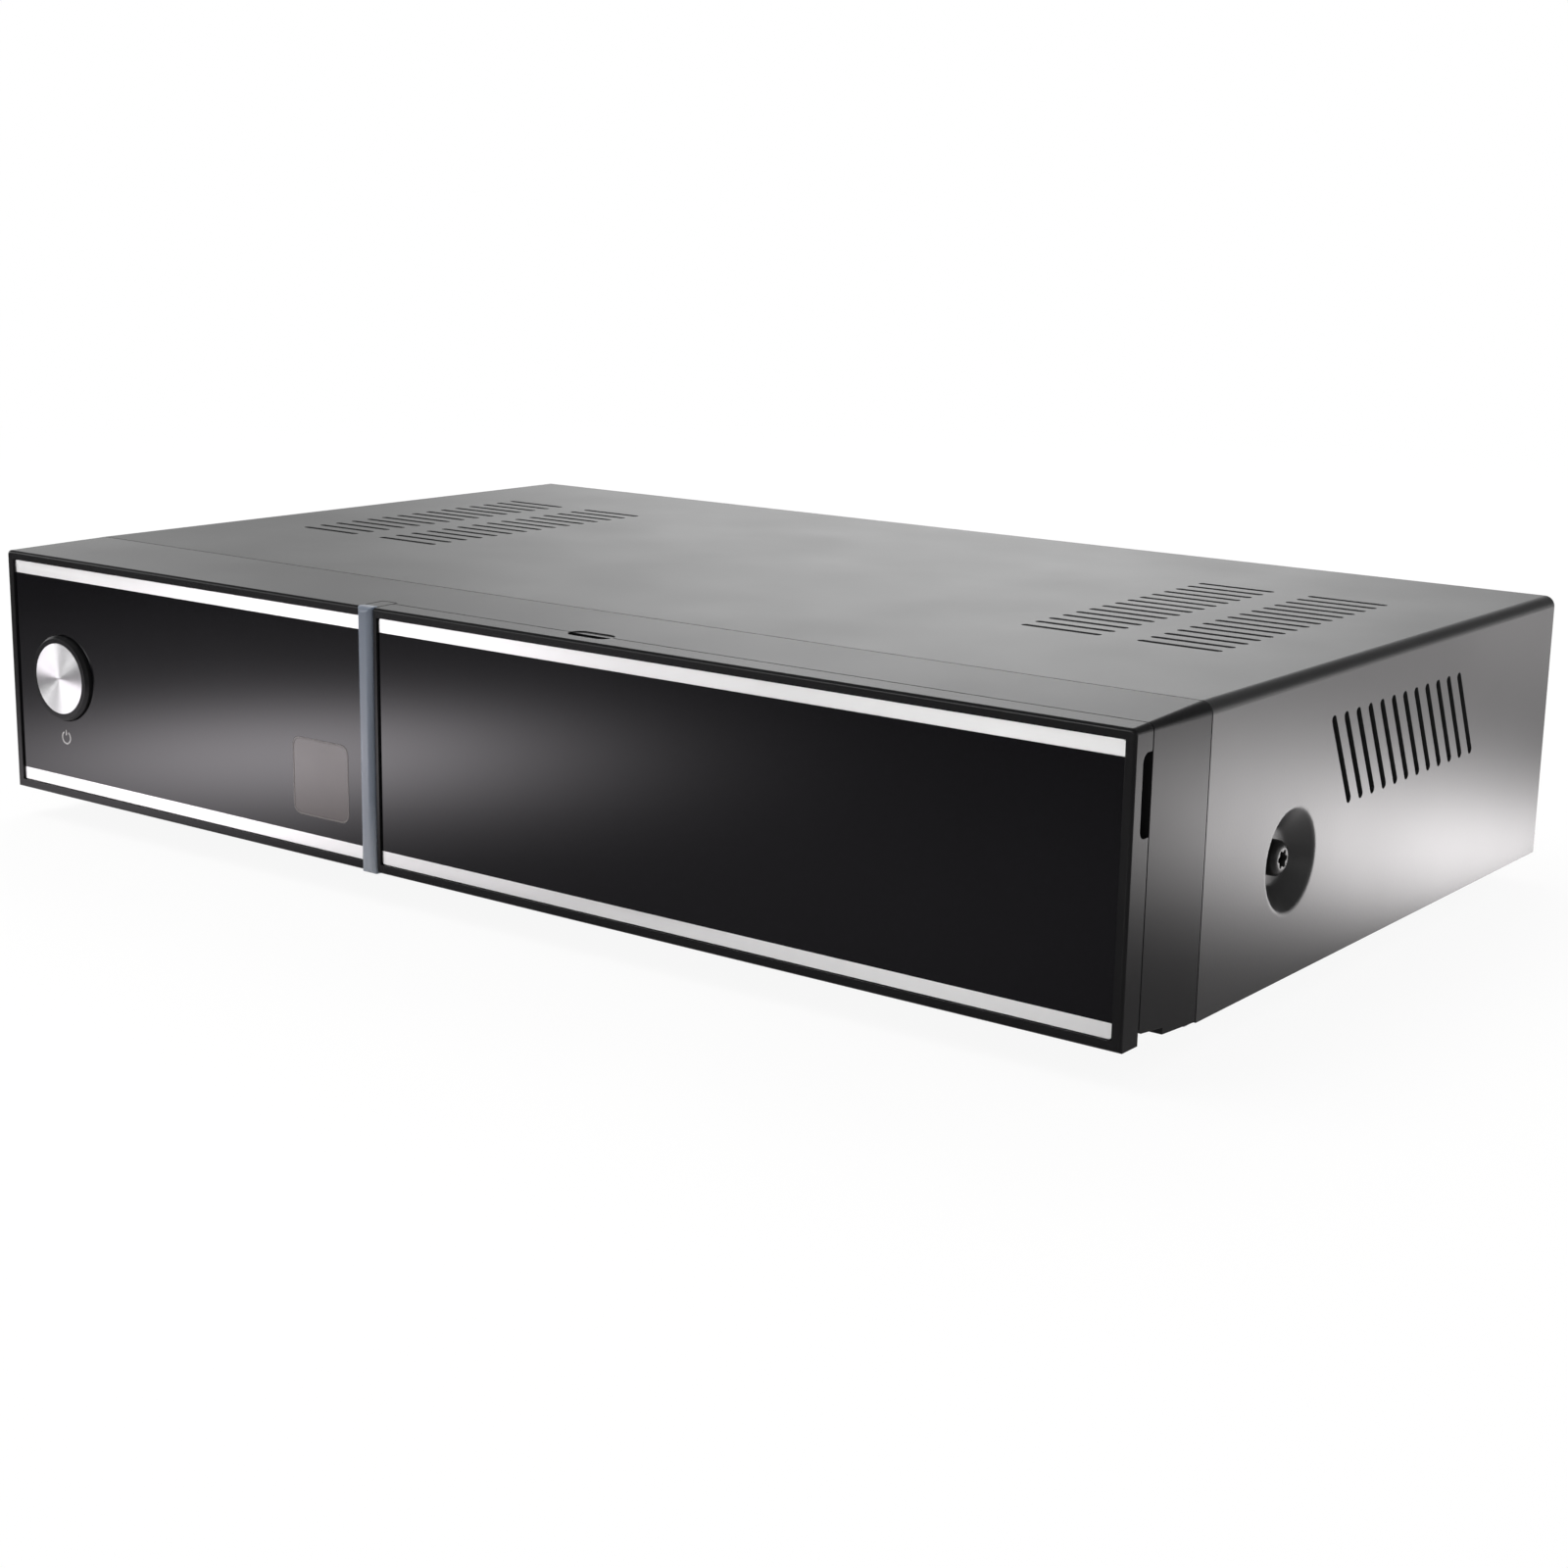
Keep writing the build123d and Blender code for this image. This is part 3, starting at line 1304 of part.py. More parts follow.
def f_connectors():
    """Two threaded coaxial sockets that pass through the rear wall."""
    pieces = []
    for x in f_xs:
        base_end_y = wall_outer_y + f_base_length
        piece = rod_y(x, tuner_axis_z, f_base_radius, wall_inner_y, base_end_y)
        piece += rod_y(x, tuner_axis_z, f_radius, base_end_y, f_tip_y)
        piece -= rod_y(x, tuner_axis_z, f_mouth_radius, f_tip_y - f_mouth_depth, f_tip_y + beyond)
        pieces.append(piece - rod_y(x, tuner_axis_z, f_bore, wall_outer_y, f_tip_y))
    return pieces


def f_nuts():
    """Nuts that clamp the coaxial sockets to the rear wall."""
    nuts = []
    for x in f_xs:
        hexagon = Pos(x, tuner_axis_z) * RegularPolygon(f_nut_across / 2, 6, major_radius=False)
        ring = hexagon - Pos(x, tuner_axis_z) * Circle(f_base_radius + pin_fit)
        nuts.append(along_y(ring, wall_outer_y, wall_outer_y + f_nut_thickness))
    return nuts


def aerial_socket():
    """Plain coaxial socket: a tube round a core with the contact hole."""
    floor_y = aerial_tip_y - aerial_mouth_depth
    base_end_y = wall_outer_y + aerial_base_length
    tube = rod_y(aerial_x, tuner_axis_z, aerial_base_radius, wall_inner_y, base_end_y)
    tube += rod_y(aerial_x, tuner_axis_z, aerial_radius, base_end_y, aerial_tip_y)
    tube -= rod_y(aerial_x, tuner_axis_z, aerial_radius - aerial_wall, floor_y, aerial_tip_y + beyond)
    core = rod_y(aerial_x, tuner_axis_z, aerial_core_radius, floor_y - beyond, aerial_tip_y - aerial_wall)
    return tube + core - rod_y(aerial_x, tuner_axis_z, aerial_hole_radius, floor_y, aerial_tip_y + beyond)


# ---------------------------------------------------------------- writing the nodes
CASE_NODES = (top_cover, side_screws, rear_screws, chassis, feet, foot_screws, front_screws)
FRONT_NODES = (front_housing, left_panel, left_bands, infrared_window, light_strip, strip_carrier,
               flap_frame, flap_panel, flap_bands, hinge_pins,
               power_button_cap, power_button_disc, power_key, power_key_plunger,
               front_board, front_board_screws, display_module, infrared_receiver, light_bar_leds, board_link)
BOARD_NODES = (main_board, standoffs, board_screws, processor, heat_sink, memory_chips, capacitors,
               power_coils, card_reader, card_cage, eject_button, front_usb)
REAR_NODES = (hdmi_socket, usb_stack, network_socket, optical_socket, optical_shutter, power_inlet,
              rocker_housing, rocker_cap, sat_tuner, cable_tuner, f_connectors, f_nuts, aerial_socket)


def write_node(make):
    """Build one node and write it to the file of the same name."""
    piece = make()
    solids = piece if isinstance(piece, list) else piece.solids()
    whole = solids[0] if len(solids) == 1 else Compound(children=list(solids))
    export_step(whole, f"parts/{make.__name__}.step")


os.makedirs("parts", exist_ok=True)
for node in CASE_NODES + FRONT_NODES + BOARD_NODES + REAR_NODES:
    write_node(node)
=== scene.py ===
import math

import bmesh
import bpy
from mathutils import Matrix, Vector

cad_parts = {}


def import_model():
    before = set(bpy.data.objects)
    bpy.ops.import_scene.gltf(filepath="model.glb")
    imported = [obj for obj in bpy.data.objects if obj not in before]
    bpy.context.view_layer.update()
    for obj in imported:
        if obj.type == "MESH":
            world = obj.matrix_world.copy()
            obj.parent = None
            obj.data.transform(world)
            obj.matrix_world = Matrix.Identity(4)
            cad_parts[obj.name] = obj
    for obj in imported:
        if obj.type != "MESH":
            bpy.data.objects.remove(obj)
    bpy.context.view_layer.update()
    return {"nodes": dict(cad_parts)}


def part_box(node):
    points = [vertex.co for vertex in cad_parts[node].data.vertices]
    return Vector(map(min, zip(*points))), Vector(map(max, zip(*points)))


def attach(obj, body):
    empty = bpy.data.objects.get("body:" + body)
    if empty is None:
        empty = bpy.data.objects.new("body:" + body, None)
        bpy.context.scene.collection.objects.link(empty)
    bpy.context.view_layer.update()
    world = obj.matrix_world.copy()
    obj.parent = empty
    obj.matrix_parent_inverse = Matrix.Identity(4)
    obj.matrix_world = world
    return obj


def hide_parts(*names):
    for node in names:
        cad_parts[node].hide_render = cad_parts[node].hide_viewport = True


# Looks of the satellite television receiver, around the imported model. Metres, in the part's own frame:
# X from left to right seen from the front, Y from front to rear, Z up from the feet.

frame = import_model()

MM = 0.001
nodes = frame["nodes"]
scene = bpy.context.scene

# ---------------------------------------------------------------- camera: the photograph's viewpoint
camera_place = Vector((0.3057, -0.40175, 0.1300))
camera_direction = Vector((-0.5855, 0.7779, -0.2282)).normalized()
camera_right = Vector((0.7963, 0.6047, 0.0180)).normalized()
camera_lens = 59.04          # millimetres on a sensor 36 mm wide
camera_sensor = 36.0


# ---------------------------------------------------------------- places read from the frame
def middle_of(node):
    low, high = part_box(node)
    return (low + high) / 2


right_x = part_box("top_cover")[1][0]
front_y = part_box("flap_frame")[0][1]
rim_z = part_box("flap_frame")[1][2]
strip_low_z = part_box("light_strip")[0][2]
button_centre = middle_of("power_button_disc")
side_seat = middle_of("side_screws")


# ---------------------------------------------------------------- material helpers
drift_detail, grain_detail = 4.0, 2.0    # octaves of the noise in slow drifts and in fine relief
colour_a, colour_b, colour_out = 6, 7, 2    # sockets of the Mix node that carry colours


class Graph:
    """Node tree of a material or a world, with short calls for its nodes. A value given to a call is plain
    or another node's output.
    """

    def __init__(self, owner):
        owner.use_nodes = True
        self.tree = owner.node_tree

    def node(self, kind, **settings):
        made = self.tree.nodes.new(kind)
        for key, value in settings.items():
            setattr(made, key, value)
        return made

    def feed(self, socket, value):
        if isinstance(value, bpy.types.NodeSocket):
            self.tree.links.new(value, socket)
        else:
            socket.default_value = value

    def coordinates(self, kind="Object"):
        return self.node("ShaderNodeTexCoord").outputs[kind]

    def maths(self, operation, *values):
        made = self.node("ShaderNodeMath", operation=operation)
        for socket, value in zip(made.inputs, values):
            self.feed(socket, value)
        return made.outputs[0]

    def vectors(self, operation, output, *values):
        made = self.node("ShaderNodeVectorMath", operation=operation)
        for socket, value in zip(made.inputs, values):
            self.feed(socket, value)
        return made.outputs[output]

    def ramp(self, source, low, high, start=0.3, end=0.7, **settings):
        """Value from low to high between two levels of the source."""
        mapped = self.node("ShaderNodeMapRange", **settings)
        for socket, value in (("Value", source), ("From Min", start), ("From Max", end), ("To Min", low),
                              ("To Max", high)):
            self.feed(mapped.inputs[socket], value)
        return mapped.outputs["Result"]

    def blend(self, factor, first, second):
        """Value that goes from the first to the second with the factor."""
        mixed = self.node("ShaderNodeMix")
        for socket, value in (("Factor", factor), ("A", first), ("B", second)):
            self.feed(mixed.inputs[socket], value)
        return mixed.outputs["Result"]

    def mix_colour(self, factor, first, second):
        mixed = self.node("ShaderNodeMix", data_type="RGBA")
        self.feed(mixed.inputs["Factor"], factor)
        for index, value in ((colour_a, first), (colour_b, second)):
            linked = isinstance(value, bpy.types.NodeSocket)
            self.feed(mixed.inputs[index], value if linked else (*value, 1.0))
        return mixed.outputs[colour_out]


class Finish(Graph):
    """A procedural material: plain values stand on the shader's sockets, and layers are added by calls."""

    def __init__(self, name, base, roughness, metallic=0.0, specular=0.5):
        self.material = bpy.data.materials.new(name)
        super().__init__(self.material)
        self.shader = self.tree.nodes["Principled BSDF"]
        self.base, self.roughness = base, roughness
        self.set("Base Color", (*base, 1.0))
        self.set("Roughness", roughness)
        self.set("Metallic", metallic)
        self.set("Specular IOR Level", specular)
        self.coords = self.coordinates()

    def set(self, socket, value):
        self.feed(self.shader.inputs[socket], value)
        return self

    def noise(self, scale, detail, stretch=(1.0, 1.0, 1.0)):
        """Noise in the object's own space; scale is the number of features a metre."""
        mapping = self.node("ShaderNodeMapping")
        self.feed(mapping.inputs["Scale"], stretch)
        self.feed(mapping.inputs["Vector"], self.coords)
        texture = self.node("ShaderNodeTexNoise")
        self.feed(texture.inputs["Scale"], scale)
        self.feed(texture.inputs["Detail"], detail)
        self.feed(texture.inputs["Vector"], mapping.outputs["Vector"])
        return texture.outputs["Fac"]

    def mottle(self, spread, scale):
        """Base colour drifts by a share of itself either way."""
        low = tuple(c * (1 - spread) for c in self.base)
        high = tuple(c * (1 + spread) for c in self.base)
        self.colour = self.mix_colour(self.ramp(self.noise(scale, drift_detail), 0.0, 1.0), low, high)
        return self.set("Base Color", self.colour)

    def dust(self, scale, share, colour):
        """Fine specks of another colour in a share of the cells; it follows mottle()."""
        inner, outer, step = 0.08, 0.16, 0.02
        cells = self.node("ShaderNodeTexVoronoi")
        self.feed(cells.inputs["Scale"], scale)
        self.feed(cells.inputs["Vector"], self.coords)
        near = self.ramp(cells.outputs["Distance"], 1.0, 0.0, inner, outer)
        picked = self.ramp(cells.outputs["Color"], 0.0, 1.0, 1 - share, 1 - share + step)
        self.colour = self.mix_colour(self.maths("MULTIPLY", near, picked), self.colour, colour)
        return self.set("Base Color", self.colour)

    def uneven(self, spread, scale, stretch=(1.0, 1.0, 1.0)):
        """Roughness drifts either way."""
        source = self.noise(scale, drift_detail, stretch)
        return self.set("Roughness", self.ramp(source, self.roughness - spread, self.roughness + spread))

    def radius_near(self, place, reach, near, elsewhere):
        """Radius for soft_edges() that is another one within reach of the line along X through a place."""
        flat = self.vectors("MULTIPLY", "Vector", self.coords, (0.0, 1.0, 1.0))
        away = self.vectors("DISTANCE", "Value", flat, (0.0, place.y, place.z))
        return self.ramp(away, near, elsewhere, 0.9 * reach, reach)

    def soft_edges(self, radius):
        """Edges catch light as if rounded by the radius."""
        bevel = self.node("ShaderNodeBevel", samples=4)
        self.feed(bevel.inputs["Radius"], radius)
        self.normal = bevel.outputs["Normal"]
        return self.set("Normal", self.normal)

    def grain(self, height, scale):
        """Fine relief of the given height in metres; it follows soft_edges()."""
        bump = self.node("ShaderNodeBump")
        self.feed(bump.inputs["Distance"], height)
        self.feed(bump.inputs["Height"], self.noise(scale, grain_detail))
        self.feed(bump.inputs["Normal"], self.normal)
        return self.set("Normal", bump.outputs["Normal"])


def dress(material, *names):
    """Give CAD nodes a material."""
    for name in names:
        slots = nodes[name].data.materials
        slots.clear()
        slots.append(material)


# ---------------------------------------------------------------- materials
def cover_paint():
    """Satin paint. Its edges are crisp at the vents and roll softly round the dished screw seats."""
    finish = Finish("cover_paint", (0.022, 0.022, 0.0225), roughness=0.33, specular=0.75)
    finish.mottle(spread=0.10, scale=60).dust(scale=420, share=0.015, colour=(0.16, 0.16, 0.16))
    finish.uneven(spread=0.012, scale=35)
    finish.soft_edges(finish.radius_near(side_seat, reach=13 * MM, near=1.0 * MM, elsewhere=0.03 * MM))
    return finish.grain(height=0.010 * MM, scale=2600).material


def front_black():
    finish = Finish("front_black", (0.010, 0.010, 0.0105), roughness=0.25, specular=0.22)
    finish.mottle(spread=0.15, scale=45).dust(scale=600, share=0.02, colour=(0.12, 0.12, 0.12))
    finish.uneven(spread=0.015, scale=30).soft_edges(0.12 * MM)
    return finish.grain(height=0.006 * MM, scale=3500).material


def gloss_black():
    finish = Finish("gloss_black", (0.0035, 0.0035, 0.0045), roughness=0.09)
    finish.mottle(spread=0.10, scale=25).dust(scale=500, share=0.015, colour=(0.12, 0.12, 0.12))
    return finish.uneven(spread=0.02, scale=18).soft_edges(0.15 * MM).material


def bright_bands():
    """Brushed along the length, so the gloss spreads up and down."""
    finish = Finish("bright_bands", (0.86, 0.855, 0.85), roughness=0.38, metallic=1.0)
    finish.set("Anisotropic", 0.85)
    finish.set("Tangent", finish.vectors("ADD", "Vector", (0.0, 0.0, 1.0)))
    finish.mottle(spread=0.03, scale=40).uneven(spread=0.05, scale=900, stretch=(0.02, 1.0, 1.0))
    return finish.soft_edges(0.1 * MM).material


def smoked_window():
    finish = Finish("smoked_window", (0.085, 0.072, 0.068), roughness=0.14)
    finish.mottle(spread=0.06, scale=90).uneven(spread=0.03, scale=60)
    return finish.soft_edges(0.3 * MM).material


def strip_blue_grey():
    """Milky light guide, with painted light from the floor below: paler towards its low end."""
    painted_glow_colour, fade = (0.34, 0.36, 0.40), 14 * MM
    finish = Finish("strip_blue_grey", (0.19, 0.215, 0.26), roughness=0.24)
    finish.set("Subsurface Weight", 0.6).set("Subsurface Scale", 2.0 * MM)
    finish.set("Subsurface Radius", (0.8, 0.9, 1.0))
    finish.mottle(spread=0.05, scale=40).uneven(spread=0.04, scale=60).soft_edges(0.2 * MM)
    parts = finish.node("ShaderNodeSeparateXYZ")
    finish.feed(parts.inputs[0], finish.coords)
    # Painted light: the colour turns paler towards the low end, where light from the floor shines up through
    # the guide.
    painted_glow_share = finish.ramp(parts.outputs["Z"], 1.0, 0.0, strip_low_z, strip_low_z + fade)
    return finish.set("Base Color", finish.mix_colour(painted_glow_share, finish.colour, painted_glow_colour)).material


def turned_aluminium():
    """Face turned in fine rings about the button's axis, so the gloss spreads along its radius."""
    ring_scale = 1700.0    # rings about 0.2 mm apart
    finish = Finish("turned_aluminium", (0.70, 0.70, 0.705), roughness=0.42, metallic=1.0)
    finish.set("Anisotropic", 0.95).set("Anisotropic Rotation", 0.25)
    finish.mottle(spread=0.03, scale=300)
    rings = finish.node("ShaderNodeTexWave", wave_type="RINGS", rings_direction="Y")
    finish.feed(rings.inputs["Scale"], ring_scale)
    finish.feed(rings.inputs["Vector"], finish.vectors("SUBTRACT", "Vector", finish.coords, button_centre))
    finish.set("Roughness", finish.ramp(rings.outputs["Fac"], 0.38, 0.46, 0.0, 1.0))
    tangent = finish.node("ShaderNodeTangent", direction_type="RADIAL", axis="Y")
    return finish.set("Tangent", tangent.outputs["Tangent"]).material


def plain(name, base, roughness, metallic=0.0):
    """Common finish for pieces that have nothing particular about them."""
    finish = Finish(name, base, roughness, metallic)
    finish.mottle(spread=0.08, scale=80).uneven(spread=0.05, scale=80).soft_edges(0.15 * MM)
    return finish.grain(height=0.006 * MM, scale=3000).material


black_screws = plain("black_screws", (0.008, 0.008, 0.008), 0.34)
bright_screws = plain("bright_screws", (0.7, 0.7, 0.71), 0.25, metallic=1.0)
nickel = plain("nickel", (0.72, 0.70, 0.66), 0.2, metallic=1.0)
contact_gold = plain("contact_gold", (0.83, 0.60, 0.26), 0.22, metallic=1.0)
socket_white = plain("socket_white", (0.72, 0.71, 0.68), 0.4)
socket_black = plain("socket_black", (0.018, 0.018, 0.018), 0.38)
key_white = plain("key_white", (0.75, 0.75, 0.72), 0.4)
# Lighter colour of the line round the infra-red window: a painted highlight on its edge.
window_edge_highlight = plain("window_edge_highlight", (0.14, 0.125, 0.12), 0.3)
print_grey = plain("print_grey", (0.55, 0.53, 0.53), 0.5)

dress(cover_paint(), "top_cover")
housing_black = front_black()
dress(housing_black, "front_housing", "strip_carrier", "flap_frame", "power_button_cap")
dress(gloss_black(), "left_panel", "flap_panel")
dress(bright_bands(), "left_bands", "flap_bands")
dress(smoked_window(), "infrared_window")
dress(strip_blue_grey(), "light_strip")
dress(turned_aluminium(), "power_button_disc")
dress(plain("plain_steel", (0.55, 0.56, 0.57), 0.32, metallic=1.0), "chassis", "hinge_pins", "card_cage",
      "card_reader", "sat_tuner", "cable_tuner", "usb_stack", "front_usb", "hdmi_socket")
dress(bright_screws, "front_board_screws", "board_screws")
dress(plain("feet_rubber", (0.025, 0.025, 0.025), 0.8), "feet")
dress(plain("board_green", (0.02, 0.09, 0.05), 0.4), "main_board", "front_board")
dress(plain("brass", (0.72, 0.52, 0.22), 0.3, metallic=1.0), "standoffs")
dress(plain("chip_black", (0.02, 0.02, 0.021), 0.5), "processor", "memory_chips", "power_coils", "power_key",
      "display_module", "infrared_receiver", "board_link")
dress(key_white, "power_key_plunger", "light_bar_leds")
dress(plain("sink_aluminium", (0.7, 0.71, 0.72), 0.35, metallic=1.0), "heat_sink")
dress(plain("capacitor_sleeve", (0.02, 0.025, 0.07), 0.25), "capacitors")
dress(socket_black, "network_socket", "optical_socket", "optical_shutter", "power_inlet", "rocker_housing",
      "rocker_cap")
dress(plain("eject_grey", (0.10, 0.10, 0.10), 0.4), "eject_button")


# ---------------------------------------------------------------- mesh helpers
crisp_angle = math.radians(35)


def solids(node):
    """Boxes of a CAD node's separate solids, each a low and a high corner."""
    work = bmesh.new()
    work.from_mesh(nodes[node].data)
    bmesh.ops.remove_doubles(work, verts=work.verts, dist=0.001 * MM)
    waiting = set(work.verts)
    boxes = []
    while waiting:
        front = [waiting.pop()]
        found = list(front)
        while front:
            vert = front.pop()
            for edge in vert.link_edges:
                other = edge.other_vert(vert)
                if other in waiting:
                    waiting.remove(other)
                    front.append(other)
                    found.append(other)
        low = Vector([min(v.co[axis] for v in found) for axis in range(3)])
        high = Vector([max(v.co[axis] for v in found) for axis in range(3)])
        boxes.append((low, high))
    work.free()
    return sorted(boxes, key=lambda corners: tuple(corners[0]))


def aimed(work, place, way):
    """Move a mesh made about the origin to a place, with its Z along the way."""
    turn = Vector(way).to_track_quat("Z", "Y").to_matrix().to_4x4()
    bmesh.ops.transform(work, matrix=Matrix.Translation(place) @ turn, verts=work.verts)
    return work


def bridged(rings, closed=False, capped=False):
    """Mesh from rings of corners, each joined to the next. A ring of one corner is a pole. A closed mesh
    also joins its last ring to its first, and a capped one fills both.
    """
    work = bmesh.new()
    rows = [[work.verts.new(corner) for corner in ring] for ring in rings]
    count = max(len(row) for row in rows)
    if capped:
        work.faces.new(rows[0])
    following = rows[1:] + rows[:1] if closed else rows[1:]
    for first, second in zip(rows, following):
        for index in range(count):
            after = (index + 1) % count
            corners = [first[index % len(first)], first[after % len(first)],
                       second[after % len(second)], second[index % len(second)]]
            work.faces.new(dict.fromkeys(corners))
    if capped:
        work.faces.new(rows[-1][::-1])
    bmesh.ops.recalc_face_normals(work, faces=work.faces)
    return work


def turned(profile, place, way, steps=48, closed=False):
    """Mesh turned about an axis. A row of the profile is a distance along the axis and a radius, or a
    function that gives the radius at an angle. A radius of 0 is a pole.
    """
    angles = [math.tau * step / steps for step in range(steps)]
    rings = []
    for along, radius in profile:
        if radius == 0:
            rings.append([(0, 0, along)])
            continue
        reaches = [radius(angle) if callable(radius) else radius for angle in angles]
        rings.append([(reach * math.cos(angle), reach * math.sin(angle), along)
                      for reach, angle in zip(reaches, angles)])
    return aimed(bridged(rings, closed), place, way)


def block(low, high, edge=0.0, segments=2):
    """Block between two corners, with its edges rounded."""
    work = bmesh.new()
    made = bmesh.ops.create_cube(work, size=1.0)
    size = Vector(high) - Vector(low)
    middle = (Vector(high) + Vector(low)) / 2
    matrix = Matrix.Translation(middle) @ Matrix.Diagonal((*size, 1.0))
    bmesh.ops.transform(work, matrix=matrix, verts=made["verts"])
    if edge:
        bmesh.ops.bevel(work, geom=list(work.edges), offset=edge, segments=segments, profile=0.5,
                        affect="EDGES")
    return work


def beam(start, end, width, height):
    """Straight bar of rectangular section between two points."""
    start, end = Vector(start), Vector(end)
    length = (end - start).length
    work = block((-width / 2, -height / 2, 0), (width / 2, height / 2, length), min(width, height) / 5, 1)
    return aimed(work, start, end - start)


def piece(name, works, material, body="receiver", replaces=None):
    """Join meshes into one piece that rides on a body. Edges sharper than the crisp angle stay crisp."""
    mesh = bpy.data.meshes.new(name)
    joined = bmesh.new()
    for work in works:
        part = bpy.data.meshes.new("part")
        work.to_mesh(part)
        work.free()
        joined.from_mesh(part)
        bpy.data.meshes.remove(part)
    for face in joined.faces:
        face.smooth = True
    joined.to_mesh(mesh)
    joined.free()
    mesh.set_sharp_from_angle(angle=crisp_angle)
    made = bpy.data.objects.new(name, mesh)
    scene.collection.objects.link(made)
    mesh.materials.append(material)
    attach(made, body)
    if replaces:
        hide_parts(replaces)


def face_of(node, x, z, way_y):
    """Where a line along Y meets a node from outside, and the face's normal there."""
    far = 0.5
    hit, place, normal, _ = nodes[node].ray_cast(Vector((x, way_y * far, z)), Vector((0, -way_y, 0)))
    if not hit:
        raise ValueError(f"{node} has no face at x {x}, z {z}")
    return place, normal


# ---------------------------------------------------------------- screws
pan_head, low_head = 2.2 * MM, 1.4 * MM


def six_lobe(radius):
    """Outline of a six-lobe socket, as a radius at each angle."""
    return lambda angle: radius * (0.86 + 0.14 * math.cos(6 * angle))


def cross_slot(radius):
    """Outline of a cross recess, as a radius at each angle."""
    arm = 0.20 * radius

    def reach(angle):
        off_arm = abs((angle + math.pi / 4) % (math.pi / 2) - math.pi / 4)
        return min(radius, arm / max(math.sin(off_arm), 0.01))
    return reach


def screw(low, high, way, head_height, drive):
    """Pan-head screw in the box of its CAD solid, with its head at the end that the way points to."""
    way = Vector(way)
    axis = max(range(3), key=lambda index: abs(way[index]))
    across = (axis + 1) % 3
    radius = (high[across] - low[across]) / 2
    shank = 0.48 * radius
    length = high[axis] - low[axis] - head_height
    seat = (low + high) / 2
    seat[axis] = high[axis] - head_height if way[axis] > 0 else low[axis] + head_height
    recess = 0.50 * radius
    flat = 0.54 * radius
    crown = 0.60 * head_height
    outline = drive(recess)
    bottom, edge, mouth = 0.3 * head_height, 0.94 * head_height, 0.98 * head_height
    narrowed, widened, rounding = 0.85, 1.06, 8
    rows = [(bottom, 0), (bottom, lambda angle: narrowed * outline(angle)), (edge, outline),
            (mouth, lambda angle: widened * outline(angle))]
    for step in range(rounding + 1):
        turn = math.radians(90 * step / rounding)
        rows.append((head_height - crown + crown * math.cos(turn), flat + (radius - flat) * math.sin(turn)))
    rows += [(0, radius), (0, shank), (-length + 0.3 * shank, shank), (-length, 0.6 * shank), (-length, 0)]
    return turned(rows, seat, way, steps=72)


def driven_screws(node, way, head_height, drive, material):
    """Screws of a node, made again with their drives. The way may depend on where a screw is."""
    works = []
    for low, high in solids(node):
        outward = way(low + high) if callable(way) else way
        works.append(screw(low, high, outward, head_height, drive))
    piece(node + "_driven", works, material, replaces=node)


def screws():
    def outward(place):
        return math.copysign(1, place.x), 0, 0

    driven_screws("side_screws", outward, pan_head, six_lobe, black_screws)
    driven_screws("rear_screws", (0, 1, 0), pan_head, six_lobe, black_screws)
    driven_screws("foot_screws", (0, 0, -1), pan_head, cross_slot, bright_screws)
    driven_screws("front_screws", (0, 0, -1), low_head, cross_slot, bright_screws)


# ---------------------------------------------------------------- sockets for the aerial and the dish
def helical(radius, pitch, depth, start, end):
    """Rows of a profile that make a thread between two distances along its axis, fading out at both ends."""
    rows_a_turn = 8

    def outline(along):
        share = max(0.0, min(1.0, (along - start) / pitch, (end - along) / pitch))

        def reach(angle):
            phase = along / pitch - angle / math.tau
            return radius - depth * share * (0.5 + 0.5 * math.cos(math.tau * phase))
        return reach

    count = round((end - start) / pitch * rows_a_turn)
    places = [start + (end - start) * step / count for step in range(count + 1)]
    return [(along, outline(along)) for along in places]


def f_connectors():
    """Threaded barrels with a white core round the contact hole."""
    shoulder_radius, shoulder_length = 5.3 * MM, 3.4 * MM
    thread_radius, pitch, depth, runout = 4.76 * MM, 0.794 * MM, 0.34 * MM, 0.4 * MM
    mouth, core, hole = 3.4 * MM, 3.3 * MM, 1.0 * MM
    set_back, hole_depth, foot = 0.8 * MM, 8.0 * MM, 0.1 * MM
    chamfer, edge, countersink = 0.3 * MM, 0.2 * MM, 0.4 * MM
    barrels, cores = [], []
    for low, high in solids("f_connectors"):
        length = high.y - low.y
        place = ((low.x + high.x) / 2, low.y, (low.z + high.z) / 2)
        rows = [(0, mouth), (0, shoulder_radius), (shoulder_length - chamfer, shoulder_radius),
                (shoulder_length, shoulder_radius - chamfer)]
        rows += helical(thread_radius, pitch, depth, shoulder_length, length - runout)
        rows += [(length, thread_radius - depth), (length, mouth + edge), (length - edge, mouth)]
        barrels.append(turned(rows, place, (0, 1, 0), steps=64, closed=True))
        face = length - set_back
        bottom = face - hole_depth
        rows = [(foot, 0), (foot, core), (face - edge, core), (face, core - edge), (face, hole + chamfer),
                (face - countersink, hole), (bottom, hole), (bottom, 0)]
        cores.append(turned(rows, place, (0, 1, 0)))
    piece("f_connectors_threaded", barrels, nickel, replaces="f_connectors")
    piece("f_connector_cores", cores, socket_white)


def hexagon(across, limit):
    """Outline of a hexagon whose corners reach no further than the limit."""
    def reach(angle):
        off_flat = (angle + math.pi / 6) % (math.pi / 3) - math.pi / 6
        return min(across / 2 / math.cos(off_flat), limit)
    return reach


